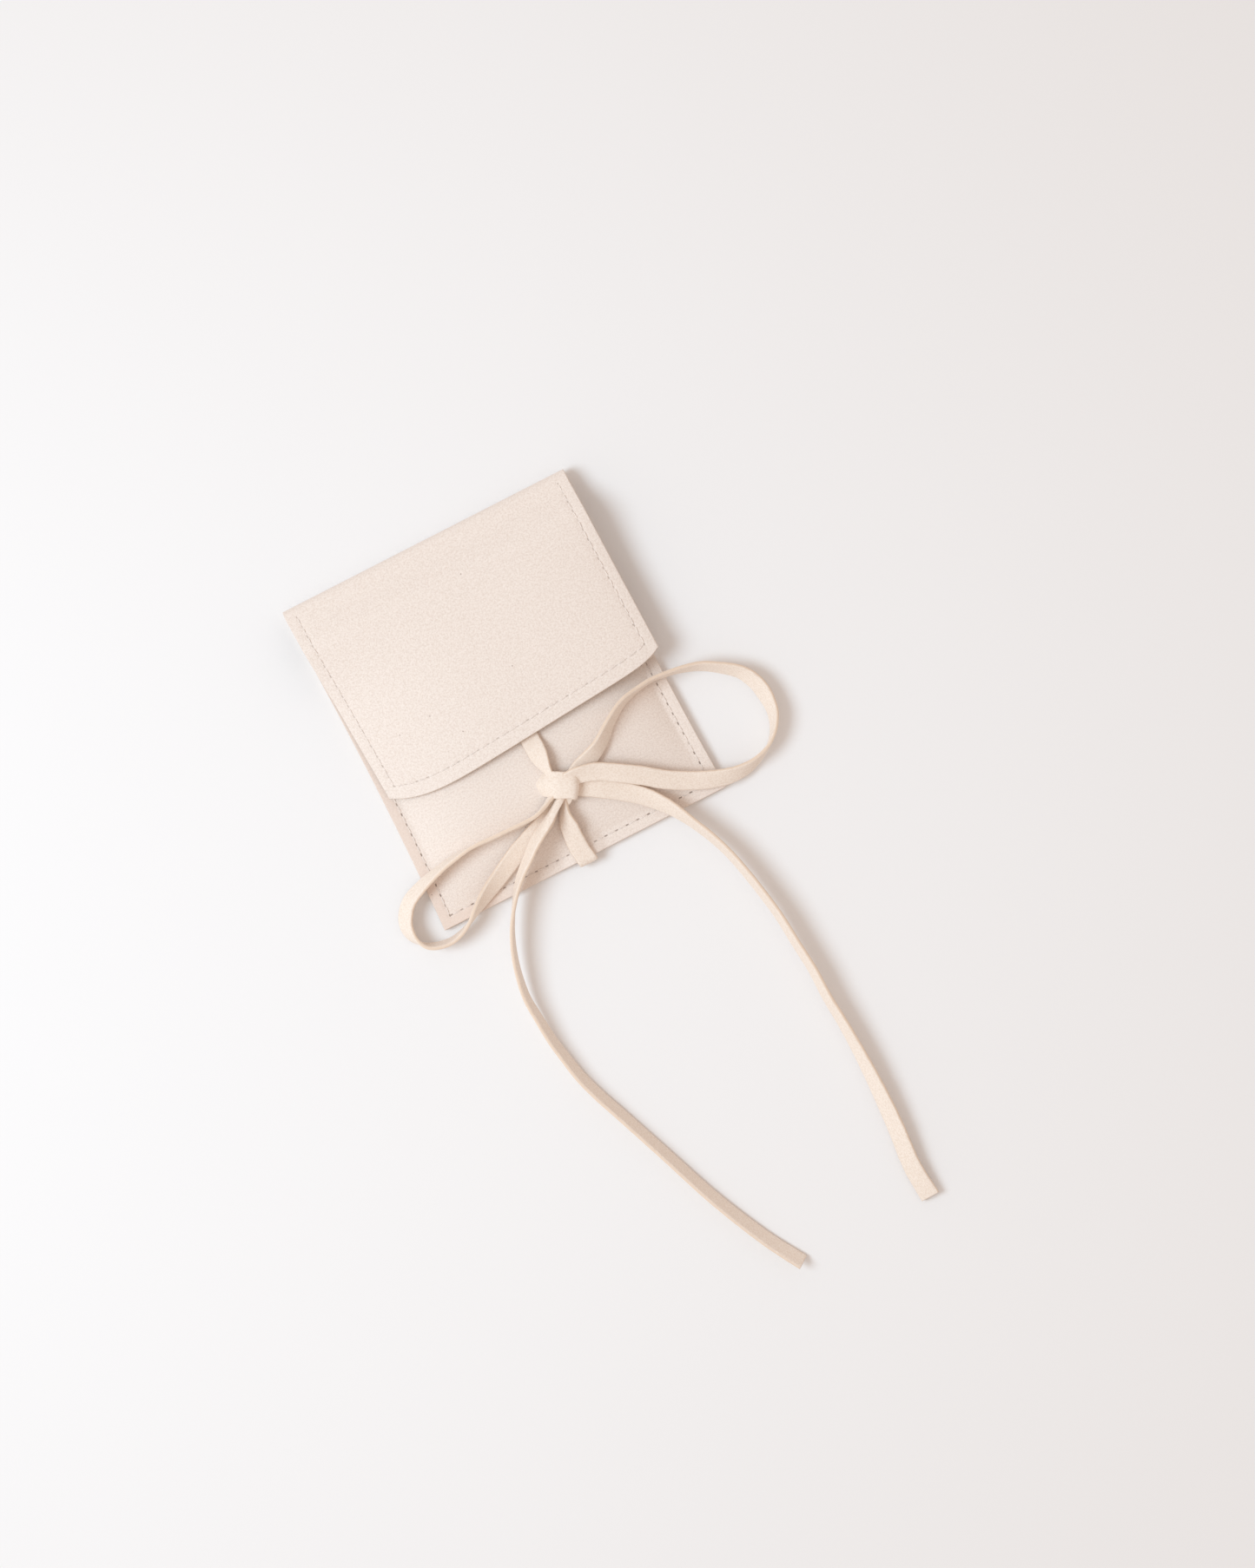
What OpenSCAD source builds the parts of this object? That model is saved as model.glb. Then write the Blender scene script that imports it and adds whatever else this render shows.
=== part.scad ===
// Soft suede envelope pouch with a fold-over flap, lying on its back, tied with a ribbon bow.
// Millimetres. +X to the right, +Y towards the fold, +Z up from the surface that it lies on.

/* [Body] */
// Width of the pouch at its corners
pouch_w = 80; // [64:1:110]
// Length of the pouch from the fold to the bottom edge
pouch_l = 90.4; // [80:0.2:120]
// How far each side edge is drawn in half way along
side_bow = 1; // [0:0.25:2]
// Height of the empty pocket at its crown
pocket_h = 5; // [4.5:0.25:7]
// Length over which the front panel swells up from the bottom seam
swell_l = 30; // [20:1:40]
// Distance from the fold to the mouth of the pocket
mouth_drop = 14; // [10:1:24]

/* [Sheets] */
// Thickness of the suede
suede_t = 0.8; // [0.6:0.1:1.2]
// Thickness of the lining
lining_t = 0.5; // [0.3:0.1:0.8]
// Gap between layers that are sewn together
layer_gap = 0.05; // [0.03:0.01:0.1]

/* [Fold and flap] */
// Outside height of the fold
fold_h = 5.6; // [5:0.2:8]
// Width of the parting line along the crease
crease_gap = 0.1; // [0.06:0.02:0.2]
// Width of the flap at its free edge
flap_w = 78; // [60:1:80]
// Length of the flap along its middle, from the fold
flap_l = 56.5; // [40:0.5:70]
// How much further up the free edge is at its right end than in the middle
flap_turn = 3.2; // [0:0.1:4]
// How far the left corner of the flap is rounded off
corner_left = 5.4; // [0:0.1:6]
// How far the right corner of the flap is cut back
corner_right = 2.2; // [0:0.1:4]
// How far the free edge is set over to the right
flap_set = 1.8; // [0:0.1:3]
// How far the left edge of the flap droops below its crown
droop_left = 6; // [0:0.5:6]
// How far the right edge of the flap droops below its crown
droop_right = 2; // [0:0.5:6]
// Space between the flap and the ribbon strand under it
flap_clear = 0.6; // [0.5:0.1:1.5]

/* [Seams] */
// Distance of a stitch line from a side or bottom edge
seam_inset = 2.8; // [2:0.1:3.4]
// Distance of the hem's stitch line from the free edge of the flap
hem_inset = 3.9; // [2:0.1:5]
// Flat margin of the pocket, outside the swell
margin_w = 4; // [3.6:0.1:6]
// Distance from one stitch to the next
stitch_pitch = 2.8; // [2:0.1:4]
// Length of one stitch
stitch_l = 2; // [1:0.1:2.4]
// Diameter of the thread
thread_d = 0.3; // [0.2:0.05:0.4]
// Gap between the thread and the sheet that it lies on
thread_gap = 0.1; // [0.05:0.01:0.15]

/* [Ribbon] */
// Width of the ribbon
ribbon_w = 5; // [3:0.5:6]
// Thickness of the ribbon
ribbon_t = 1; // [0.6:0.1:1.1]
// Bevel of the ribbon's long edges
ribbon_bevel = 0.25; // [0.1:0.05:0.3]
// Length of the band across the knot
knot_l = 9; // [7:0.2:11]
// Width of the band across the knot
knot_w = 6.8; // [5:0.2:8]
// Height of the knot
knot_h = 4.4; // [4:0.2:5]

/* [Hidden] */

// Layers, from the surface upwards
lining_z = suede_t + layer_gap;
front_z = lining_z + lining_t + layer_gap;
margin_top = front_z + suede_t;
crown_top = margin_top + pocket_h;
flap_depth = suede_t + layer_gap + lining_t;
flap_top = crown_top + 2 * thread_gap + ribbon_t + flap_clear + flap_depth;

// Ends of the pouch and the centre line of the round fold
y_fold = pouch_l / 2;
y_bottom = -pouch_l / 2;
fold_r = fold_h / 2;
y_arc = y_fold - fold_r;
y_mouth = y_fold - mouth_drop;
crease_angle = asin(crease_gap / 2 / fold_r);

// Room in the bottom seam for the ribbon that is caught there
tab_x = 0.4;
tab_rise = ribbon_t + 3 * layer_gap;
tab_fade = 4;

// Steps of the modelled sheets
across_n = 30;
along_n = 22;
arc_n = 5;
flat_n = 18;
flap_n = 20;
side_n = 12;
round_fn = 64;
thread_fn = 6;

// Colours
suede_colour = "#f3e3d8";
lining_colour = "#ecd9cb";
ribbon_colour = "#f1dcc6";
thread_colour = "#efe2d4";

// How closely the corners' shapes and the droop keep to the side edges of the flap
round_power = 5;
cut_power = 10;
droop_power_left = 2.4;
droop_power_right = 4;

// Ribbon routes: x, y, z of the middle line, and the tilt of the width in degrees.
// A tilt of 0 lies flat, and a negative one lowers the edge on the right of the way along.
knot_at = [3, -25.8, 9.2];
knot_turn = -27;
upper_route = [
    [1, 9, 7.8, 0], [1.2, 2, 7.8, 0], [1.3, -6, 7.8, 0], [1.4, -11.5, 7.9, 0],
    [1.5, -14.7, 8.2, -4], [1.6, -17.6, 8.6, -10], [1.7, -19.9, 8.9, -14], [1.9, -22.1, 9.1, -16],
    [2.2, -23.8, 9.3, -16]
];
lower_route = [
    [0.4, -35, 2, 0], [0.4, -40.8, 2, 0], [0.4, -43.2, 2, 0], [0.4, -45.2, 2, 0],
    [0.4, -45.9, 2.3, 0], [0.4, -46.2, 3, 0], [0.4, -45.9, 3.7, 0], [0.3, -45.2, 4, 0],
    [0.1, -43.7, 4.2, 0], [-0.1, -41.6, 4.5, 0], [0, -38.7, 5, 2], [0.4, -35.6, 5.8, 6],
    [1, -32.9, 6.5, 12], [2, -30.2, 7.1, 16], [2.9, -28, 7.6, 16]
];
left_loop_route = [
    [2, -26.4, 9.6, -30], [-0.9, -27.7, 9.4, -58], [-3.6, -29, 9.3, -70], [-6.4, -29.9, 9.2, -76],
    [-10, -30.1, 9.1, -80], [-13.5, -30, 9, -80], [-18.5, -29.9, 8.6, -80], [-24.6, -29.6, 8, -80],
    [-31.3, -30.3, 6.8, -74], [-36.5, -31.5, 5.6, -64], [-40.4, -32.7, 4.6, -54],
    [-44.4, -34.5, 3.8, -46], [-47.1, -37.4, 3.3, -44], [-48.2, -40.5, 3.2, -52],
    [-47.8, -43.6, 3.1, -72], [-46, -46.3, 3.1, -96], [-43.5, -47.7, 3.2, -104],
    [-40.1, -48.3, 3.4, -104], [-36.8, -47.8, 3.8, -100], [-33.3, -46.3, 4.4, -90],
    [-30.3, -44.3, 4.9, -74], [-26.7, -42.1, 4.9, -54], [-21.4, -39.4, 4.9, -36],
    [-14.9, -36.2, 5.6, -22], [-10, -34.3, 6.2, -14], [-5.6, -32.5, 6.9, -8], [-2.3, -30.6, 7.5, -4],
    [0.6, -28.6, 8, -4]
];
right_loop_route = [
    [5.1, -25.4, 9.6, -12], [8.1, -25.4, 9.8, -20], [12.9, -27, 9.6, -22], [17.7, -29.9, 8.9, -18],
    [22.4, -33, 7.8, -14], [26.9, -36.4, 6.5, -12], [31.7, -39.2, 5.4, -16], [36.7, -41.5, 4.8, -24],
    [41.6, -43, 4.3, -38], [45.8, -43.4, 3.8, -54], [49.8, -42.8, 3.5, -72], [53.6, -41.2, 3.3, -86],
    [56.2, -39.1, 3.2, -96], [58.2, -36.2, 3.2, -108], [59.3, -33, 3.1, -120],
    [59.4, -28.9, 3.1, -134], [58.6, -24.8, 3.2, -136], [56.2, -20.7, 3.3, -126],
    [51.6, -17.1, 3.5, -116], [47.8, -14.9, 3.8, -110], [43.6, -13.6, 4.4, -102],
    [39.7, -12.9, 5, -97], [35.4, -12.5, 5.9, -95], [30.7, -13.1, 7, -98], [26.1, -14.4, 8.3, -106],
    [21.6, -17.1, 9.1, -113], [16.7, -20.9, 9.6, -128], [12.9, -22.9, 9.2, -146],
    [9.4, -24.1, 8.4, -158], [5.5, -25.5, 8, -164]
];
left_tail_route = [
    [1.8, -28, 9.2, -26], [-0.2, -29.4, 9.7, -40], [-3.6, -31.8, 10, -50], [-6.8, -34, 9.7, -56],
    [-9.7, -36, 9.2, -60], [-12.6, -38.4, 8.4, -64], [-16.1, -41.3, 7.3, -70],
    [-18.8, -44.1, 6.7, -77], [-20.9, -46.9, 6.2, -85], [-22.9, -49.9, 6.1, -90],
    [-25, -53.7, 5.9, -94], [-27, -58.7, 5.4, -98], [-28.4, -64.1, 4.8, -101], [-29.2, -69.9, 4.1, -105],
    [-28.9, -76, 3.4, -109], [-28.4, -82.2, 2.9, -112], [-27.4, -88.2, 2.7, -114],
    [-26.2, -94, 2.6, -116], [-24.2, -100.2, 2.6, -117], [-21.4, -107.3, 2.5, -118],
    [-16.2, -120.8, 2.5, -119], [-10.2, -136.5, 2.5, -122], [-3.4, -151.1, 2.3, -127],
    [2.5, -161.3, 2.2, -133]
];
right_tail_route = [
    [6.5, -27.8, 7.6, -6], [11.3, -30.9, 7.2, -8], [15.8, -34, 6.4, -12], [19.3, -36.8, 5.8, -20],
    [22.5, -40.2, 5.4, -34], [25.4, -44.1, 5.2, -52], [28, -48.8, 5.3, -66], [30.7, -54.4, 5.4, -70],
    [32.8, -60, 5.4, -72], [34.4, -66.1, 5.3, -72], [35.8, -73, 5.2, -72], [37, -80.3, 5, -72],
    [37.7, -88.6, 4.7, -71], [38.4, -96.3, 4.4, -70], [38.5, -104.3, 4.1, -68],
    [39.1, -112.5, 3.7, -65], [39.4, -121.1, 3.4, -62], [39.4, -130.2, 3, -58],
    [39, -141.2, 2.6, -52], [38.2, -152, 2.1, -42], [38.8, -161.2, 1.6, -28]
];

// Even ramp from 0 to 1
function ramp(f) = let (c = min(max(f, 0), 1)) c * c * (3 - 2 * c);

// Half width of the pouch along its length
function half_w(y) = pouch_w / 2 - side_bow * (1 - pow(2 * y / pouch_l, 2));

// Swell of the pocket, from 0 on the margins to 1 at the crown
function swell_across(x, y) = let (f = min(abs(x) / (half_w(y) - margin_w), 1)) 1 - pow(f, 4);
function swell_along(y) = let (f = min(max((y - y_bottom - margin_w) / swell_l, 0), 1)) 1 - pow(1 - f, 3);

// Hump in the bottom margin over the ribbon that is caught in the seam
function tab_hump(x, y) =
    tab_rise
    * (1 - ramp((abs(x - tab_x) - ribbon_w / 2 - layer_gap) / tab_fade))
    * (1 - ramp((y - y_bottom - margin_w) / tab_fade));

// Top of the front panel
function front_top(x, y) = margin_top + pocket_h * swell_across(x, y) * swell_along(y) + tab_hump(x, y);

// Outline of the flap: u runs from -1 to 1 across it, q from 0 at the fold to 1 at its free edge
function flap_corner(u) = u < 0 ? corner_left * pow(-u, round_power) : corner_right * pow(u, cut_power);
function flap_tip(u) = y_fold - flap_l + flap_turn * u + flap_corner(u);
function flap_half(q) = half_w(y_arc) + (flap_w / 2 - half_w(y_arc)) * q;
function flap_x(u, q) = u * flap_half(q) + flap_set * q;
function flap_y(u, q) = y_arc + (flap_tip(u) - y_arc) * q;
function flap_droop(u) =
    u < 0 ? droop_left * pow(-u, droop_power_left) : droop_right * pow(u, droop_power_right);
function flap_height(u, y) =
    fold_h
    + (flap_top - fold_h) * ramp((y_arc - y) / (y_arc - y_mouth))
    - flap_droop(u) * ramp((y_arc - y) / (flap_l / 2));

// A point of the flap, depth below its outer face
function flap_point(u, q, depth) = let (y = flap_y(u, q)) [flap_x(u, q), y, flap_height(u, y) - depth];
function fold_point(u, angle, depth) = [
    u * half_w(y_arc),
    y_arc + (fold_r - depth) * cos(angle),
    fold_r + (fold_r - depth) * sin(angle)
];

// Triangles of a sheet of two grids, the upper one first, each with its rows from back to front
function sheet_faces(nu, nv) =
    let (m = (nu + 1) * (nv + 1), at = function (j, i) j * (nu + 1) + i)
    concat(
        [for (j = [0:nv - 1], i = [0:nu - 1], f = [
            [at(j, i), at(j, i + 1), at(j + 1, i + 1)],
            [at(j, i), at(j + 1, i + 1), at(j + 1, i)],
            [m + at(j, i), m + at(j + 1, i + 1), m + at(j, i + 1)],
            [m + at(j, i), m + at(j + 1, i), m + at(j + 1, i + 1)]
        ]) f],
        [for (i = [0:nu - 1], e = [
            [at(0, i), at(0, i + 1)],
            [at(nv, i + 1), at(nv, i)]
        ], f = wall(e[0], e[1], m)) f],
        [for (j = [0:nv - 1], e = [
            [at(j, nu), at(j + 1, nu)],
            [at(j + 1, 0), at(j, 0)]
        ], f = wall(e[0], e[1], m)) f]
    );
function wall(p, q, m) = [[q, p, m + p], [q, m + p, m + q]];

// Middle line through the points of a route
function spline_point(r, i, f) =
    let (
        n = len(r) - 1,
        p0 = r[max(i - 1, 0)],
        p1 = r[i],
        p2 = r[i + 1],
        p3 = r[min(i + 2, n)]
    )
    p1 + f / 2 * ((p2 - p0) + f * ((2 * p0 - 5 * p1 + 4 * p2 - p3) + f * (3 * p1 - 3 * p2 + p3 - p0)));
function spline(r, steps) =
    concat(
        [for (i = [0:len(r) - 2], k = [0:steps - 1]) spline_point(r, i, k / steps)],
        [r[len(r) - 1]]
    );

// Width direction of the ribbon: across the pouch on a strand, and tilted from level on a free stretch
function unit(v) = v / norm(v);
function place(p) = [p[0], p[1], p[2]];
function across(t, tilt, strand) =
    let (
        side = unit(strand ? [1, 0, 0] - t[0] * t : cross(t, [0, 0, 1])),
        up = cross(side, t)
    )
    cos(tilt) * side + sin(tilt) * up;

// Flat section of the ribbon with bevelled edges
section = let (w = ribbon_w / 2, t = ribbon_t / 2, b = ribbon_bevel) [
    [w, t - b], [w - b, t], [b - w, t], [-w, t - b],
    [-w, b - t], [b - w, -t], [w - b, -t], [w, b - t]
];

// One stretch of ribbon along a route
module ribbon(route, steps, strand = false) {
    line = spline(route, steps);
    last = len(line) - 1;
    sides = len(section);
    rings = [for (i = [0:last])
        let (
            t = unit(place(line[min(i + 1, last)]) - place(line[max(i - 1, 0)])),
            w = across(t, line[i][3], strand),
            n = cross(w, t)
        )
        for (c = section) place(line[i]) + c[0] * w + c[1] * n
    ];
    skin = [for (i = [0:last - 1], k = [0:sides - 1])
        let (a = i * sides + k, b = i * sides + (k + 1) % sides)
        for (f = [[a, b, b + sides], [a, b + sides, a + sides]]) f
    ];
    ends = [for (k = [1:sides - 2], f = [
        [0, k + 1, k],
        [last * sides, last * sides + k, last * sides + k + 1]
    ]) f];
    polyhedron(rings, concat(skin, ends));
}

// A sheet that lies flat on the back and turns up into the lower half of the fold
module back_sheet(z, t) {
    ys = [for (k = [0:side_n]) y_bottom + (y_arc - y_bottom) * k / side_n];
    right = [for (y = ys) [half_w(y), y]];
    left = [for (k = [side_n:-1:0]) [-half_w(ys[k]), ys[k]]];
    translate([0, 0, z])
        linear_extrude(t)
            polygon(concat(right, left));
    translate([-half_w(y_arc), y_arc, fold_r])
        rotate([0, 90, 0])
            rotate_extrude(angle = 90 - crease_angle, $fn = round_fn)
                translate([fold_r - z - t, 0])
                    square([t, 2 * half_w(y_arc)]);
}

// A sheet that starts in the upper half of the fold and lies over the front
module flap_sheet(depth, t) {
    grid = function (d) concat(
        [for (j = [0:arc_n - 1], i = [0:flap_n])
            fold_point(2 * i / flap_n - 1, crease_angle + (90 - crease_angle) * j / arc_n, d)],
        [for (j = [0:flat_n], i = [0:flap_n]) flap_point(2 * i / flap_n - 1, j / flat_n, d)]
    );
    polyhedron(concat(grid(depth), grid(depth + t)), sheet_faces(flap_n, arc_n + flat_n));
}

// One straight stitch from p to q, lifted clear of the sheet
module stitch(p, q) {
    way = q - p;
    translate(p + [0, 0, thread_d / 2 + thread_gap])
        rotate([0, acos(way[2] / norm(way)), atan2(way[1], way[0])])
            cylinder(h = norm(way), d = thread_d, $fn = thread_fn);
}

// A row of stitches along a line that a function of 0 to 1 gives
module stitch_row(length, line) {
    n = floor(length / stitch_pitch);
    for (k = [0:n - 1]) {
        start = (k + 0.5 - stitch_l / stitch_pitch / 2) / n;
        end = (k + 0.5 + stitch_l / stitch_pitch / 2) / n;
        stitch(line(start), line(end));
    }
}

module back_panel() {
    color(suede_colour)
        back_sheet(0, suede_t);
}

module back_lining() {
    color(lining_colour)
        back_sheet(lining_z, lining_t);
}

module front_panel() {
    inner = along_n - 1;
    ys = concat(
        [for (j = [0:inner]) y_mouth + (y_bottom + margin_w - y_mouth) * j / inner],
        [y_bottom]
    );
    xs = function (y) concat(
        [-half_w(y)],
        [for (i = [0:across_n - 2]) (half_w(y) - margin_w) * (2 * i / (across_n - 2) - 1)],
        [half_w(y)]
    );
    grid = function (d) [for (y = ys, x = xs(y)) [x, y, front_top(x, y) - d]];
    color(suede_colour)
        polyhedron(concat(grid(0), grid(suede_t)), sheet_faces(across_n, along_n));
}

// Stitches up both sides and along the bottom, on the front panel and on the lining above the mouth
module pocket_stitches() {
    low = y_bottom + seam_inset;
    high = y_arc - thread_gap;
    edge_x = function (side, y) side * (half_w(y) - seam_inset);
    tab_side = ribbon_w / 2 + tab_fade + stitch_pitch;
    bottom_half = half_w(low) - seam_inset;
    color(thread_colour) {
        for (side = [-1, 1]) {
            stitch_row(y_mouth - low, function (f)
                let (y = low + (y_mouth - low) * f) [edge_x(side, y), y, margin_top]);
            stitch_row(high - y_mouth, function (f)
                let (y = y_mouth + (high - y_mouth) * f) [edge_x(side, y), y, lining_z + lining_t]);
            stitch_row(bottom_half - tab_side, function (f)
                [tab_x + side * (bottom_half - (bottom_half - tab_side) * f), low, margin_top]);
        }
    }
}

module flap_panel() {
    color(suede_colour)
        flap_sheet(0, suede_t);
}

module flap_lining() {
    color(lining_colour)
        flap_sheet(suede_t + layer_gap, lining_t);
}

// Stitches down both sides of the flap and along its free edge
module flap_stitches() {
    u_side = 1 - 2 * seam_inset / flap_w;
    q_low = 1 - hem_inset / flap_l;
    color(thread_colour) {
        for (side = [-1, 1])
            stitch_row(flap_l - fold_r - hem_inset, function (f) flap_point(side * u_side, q_low * f, 0));
        stitch_row(flap_w - 2 * seam_inset, function (f) flap_point(u_side * (2 * f - 1), q_low, 0));
    }
}

module upper_strand() {
    color(ribbon_colour)
        ribbon(upper_route, 1, true);
}

// Two short rows of stitches that hold the hidden end of the upper strand
module strand_tack() {
    end = place(upper_route[0]) + [0, 0, ribbon_t / 2];
    reach = ribbon_w / 2 - 2 * ribbon_bevel;
    color(thread_colour)
        for (row = [1, 2], side = [-1, 1])
            stitch(
                end + [side * thread_d, -row * stitch_l, 0],
                end + [side * reach, -row * stitch_l, 0]
            );
}

module lower_strand() {
    color(ribbon_colour)
        ribbon(lower_route, 1, true);
}

// A rounded bar along X with its length, width and height
module round_bar(l, w, h) {
    cube([l - h, w, h], center = true);
    for (side = [-1, 1])
        translate([side * (l - h) / 2, 0, 0])
            rotate([90, 0, 0])
                cylinder(h = w, d = h, center = true, $fn = round_fn);
}

// The band over the knot, and the crossed turn under it
module bow_knot() {
    turn_l = knot_l - ribbon_t;
    turn_h = knot_h - 2 * ribbon_t;
    color(ribbon_colour)
        translate(knot_at)
            rotate([0, 0, knot_turn]) {
                round_bar(knot_l, knot_w, knot_h);
                translate([0, 0, (turn_h - knot_h) / 2])
                    rotate([0, 0, 90])
                        round_bar(turn_l, ribbon_w, turn_h);
            }
}

module left_loop() {
    color(ribbon_colour)
        ribbon(left_loop_route, 2);
}

module right_loop() {
    color(ribbon_colour)
        ribbon(right_loop_route, 2);
}

module left_tail() {
    color(ribbon_colour)
        ribbon(left_tail_route, 1);
}

module right_tail() {
    color(ribbon_colour)
        ribbon(right_tail_route, 1);
}

back_panel();
back_lining();
front_panel();
pocket_stitches();
flap_panel();
flap_lining();
flap_stitches();
upper_strand();
strand_tack();
lower_strand();
bow_knot();
left_loop();
right_loop();
left_tail();
right_tail();
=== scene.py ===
"""Soft suede envelope pouch with a fold-over flap, closed by a flat ribbon tied in a bow.

Dresses the packed frame: sheets, ribbon, knot and thread, on a pale floor in soft light.
Metres. +X to the right, +Y towards the fold, +Z up from the surface that the pouch lies on.
"""

import math
from collections import namedtuple

import bmesh
import bpy
import numpy as np
from bpy.props import FloatProperty, FloatVectorProperty, IntProperty, PointerProperty
from mathutils import Matrix, Vector


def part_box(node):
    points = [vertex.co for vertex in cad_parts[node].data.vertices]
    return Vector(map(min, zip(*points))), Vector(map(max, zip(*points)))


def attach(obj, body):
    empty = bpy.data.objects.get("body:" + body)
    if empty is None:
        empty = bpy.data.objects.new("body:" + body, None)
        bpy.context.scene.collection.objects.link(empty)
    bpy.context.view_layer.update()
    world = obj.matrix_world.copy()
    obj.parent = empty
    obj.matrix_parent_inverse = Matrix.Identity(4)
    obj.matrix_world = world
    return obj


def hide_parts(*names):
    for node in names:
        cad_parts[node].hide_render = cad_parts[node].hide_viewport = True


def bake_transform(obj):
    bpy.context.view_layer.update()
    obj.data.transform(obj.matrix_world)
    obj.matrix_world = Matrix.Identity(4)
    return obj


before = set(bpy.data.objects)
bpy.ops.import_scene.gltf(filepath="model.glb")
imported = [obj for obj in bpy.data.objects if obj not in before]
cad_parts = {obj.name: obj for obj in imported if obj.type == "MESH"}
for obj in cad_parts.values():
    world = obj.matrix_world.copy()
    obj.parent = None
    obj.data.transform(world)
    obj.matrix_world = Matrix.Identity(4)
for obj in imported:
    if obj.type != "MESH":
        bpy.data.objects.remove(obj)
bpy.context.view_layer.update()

bl_info = {
    "name": "Flap pouch with a ribbon bow",
    "version": (1, 0, 0),
    "blender": (4, 5, 0),
    "location": "3D View > Sidebar > Pouch",
    "description": "Sheets, ribbon, knot and stitches of a suede flap pouch, around its frame",
    "category": "Add Mesh",
}

MM = 0.001
BACK_LOW, BACK_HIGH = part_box("back_panel")
SENSOR_MM = 36.0
UP = np.array([0.0, 0.0, 1.0])

# Modelled points across and along each sheet, and across the face of the ribbon and of the knot
FRONT_COLUMNS, FRONT_ROWS = 141, 161
SHEET_COLUMNS = 131
BACK_ROWS, FOLD_ROWS, FLAP_ROWS = 88, 25, 100
RIBBON_COLUMNS, KNOT_COLUMNS = 15, 25

# How dark the painted shade in the needle holes of the front, the back and the flap is
FRONT_HOLES, BACK_HOLES, FLAP_HOLES = 0.85, 0.75, 0.4

# Depths in millimetres from which the faces of a sheet take their grain, so that they differ
FRONT_INSIDE = (0, 0, 9)
SHEET_OUTSIDE = (0, 0, 21)
SHEET_INSIDE = (0, 0, 30)

# Ribbon routes in millimetres: x, y, z of the middle line, and the tilt of the width in degrees.
# A tilt of 0 lies flat, and a negative one lowers the edge on the right of the way along.
UPPER_ROUTE = [
    (1, 9, 7.8, 0), (1.2, 2, 7.8, 0), (1.3, -6, 7.8, 0), (1.4, -11.5, 7.9, 0),
    (1.5, -14.7, 8.2, -4), (1.6, -17.6, 8.6, -10), (1.7, -19.9, 8.9, -14), (1.9, -22.1, 9.1, -16),
    (2.2, -23.8, 9.3, -16),
]
LOWER_ROUTE = [
    (0.4, -35, 2, 0), (0.4, -40.8, 2, 0), (0.4, -43.2, 2, 0), (0.4, -45.2, 2, 0),
    (0.4, -45.9, 2.3, 0), (0.4, -46.2, 3, 0), (0.4, -45.9, 3.7, 0), (0.3, -45.2, 4, 0),
    (0.1, -43.7, 4.2, 0), (-0.1, -41.6, 4.5, 0), (0, -38.7, 5, 2), (0.4, -35.6, 5.8, 6),
    (1, -32.9, 6.5, 12), (2, -30.2, 7.1, 16), (2.9, -28, 7.6, 16),
]
LEFT_LOOP_ROUTE = [
    (2, -26.4, 9.6, -30), (-0.9, -27.7, 9.4, -58), (-3.6, -29, 9.3, -70), (-6.4, -29.9, 9.2, -76),
    (-10, -30.1, 9.1, -80), (-13.5, -30, 9, -80), (-18.5, -29.9, 8.6, -80), (-24.6, -29.6, 8, -80),
    (-31.3, -30.3, 6.8, -74), (-36.5, -31.5, 5.6, -64), (-40.4, -32.7, 4.6, -54),
    (-44.4, -34.5, 3.8, -46), (-47.1, -37.4, 3.3, -44), (-48.2, -40.5, 3.2, -52),
    (-47.8, -43.6, 3.1, -72), (-46, -46.3, 3.1, -96), (-43.5, -47.7, 3.2, -104),
    (-40.1, -48.3, 3.4, -104), (-36.8, -47.8, 3.8, -100), (-33.3, -46.3, 4.4, -90),
    (-30.3, -44.3, 4.9, -74), (-26.7, -42.1, 4.9, -54), (-21.4, -39.4, 4.9, -36),
    (-14.9, -36.2, 5.6, -22), (-10, -34.3, 6.2, -14), (-5.6, -32.5, 6.9, -8), (-2.3, -30.6, 7.5, -4),
    (0.6, -28.6, 8, -4),
]
RIGHT_LOOP_ROUTE = [
    (5.1, -25.4, 9.6, -12), (8.1, -25.4, 9.8, -20), (12.9, -27, 9.6, -22), (17.7, -29.9, 8.9, -18),
    (22.4, -33, 7.8, -14), (26.9, -36.4, 6.5, -12), (31.7, -39.2, 5.4, -16), (36.7, -41.5, 4.8, -24),
    (41.6, -43, 4.3, -38), (45.8, -43.4, 3.8, -54), (49.8, -42.8, 3.5, -72), (53.6, -41.2, 3.3, -86),
    (56.2, -39.1, 3.2, -96), (58.2, -36.2, 3.2, -108), (59.3, -33, 3.1, -120),
    (59.4, -28.9, 3.1, -134), (58.6, -24.8, 3.2, -136), (56.2, -20.7, 3.3, -126),
    (51.6, -17.1, 3.5, -116), (47.8, -14.9, 3.8, -110), (43.6, -13.6, 4.4, -102),
    (39.7, -12.9, 5, -97), (35.4, -12.5, 5.9, -95), (30.7, -13.1, 7, -98), (26.1, -14.4, 8.3, -106),
    (21.6, -17.1, 9.1, -113), (16.7, -20.9, 9.6, -128), (12.9, -22.9, 9.2, -146),
    (9.4, -24.1, 8.4, -158), (5.5, -25.5, 8, -164),
]
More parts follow.
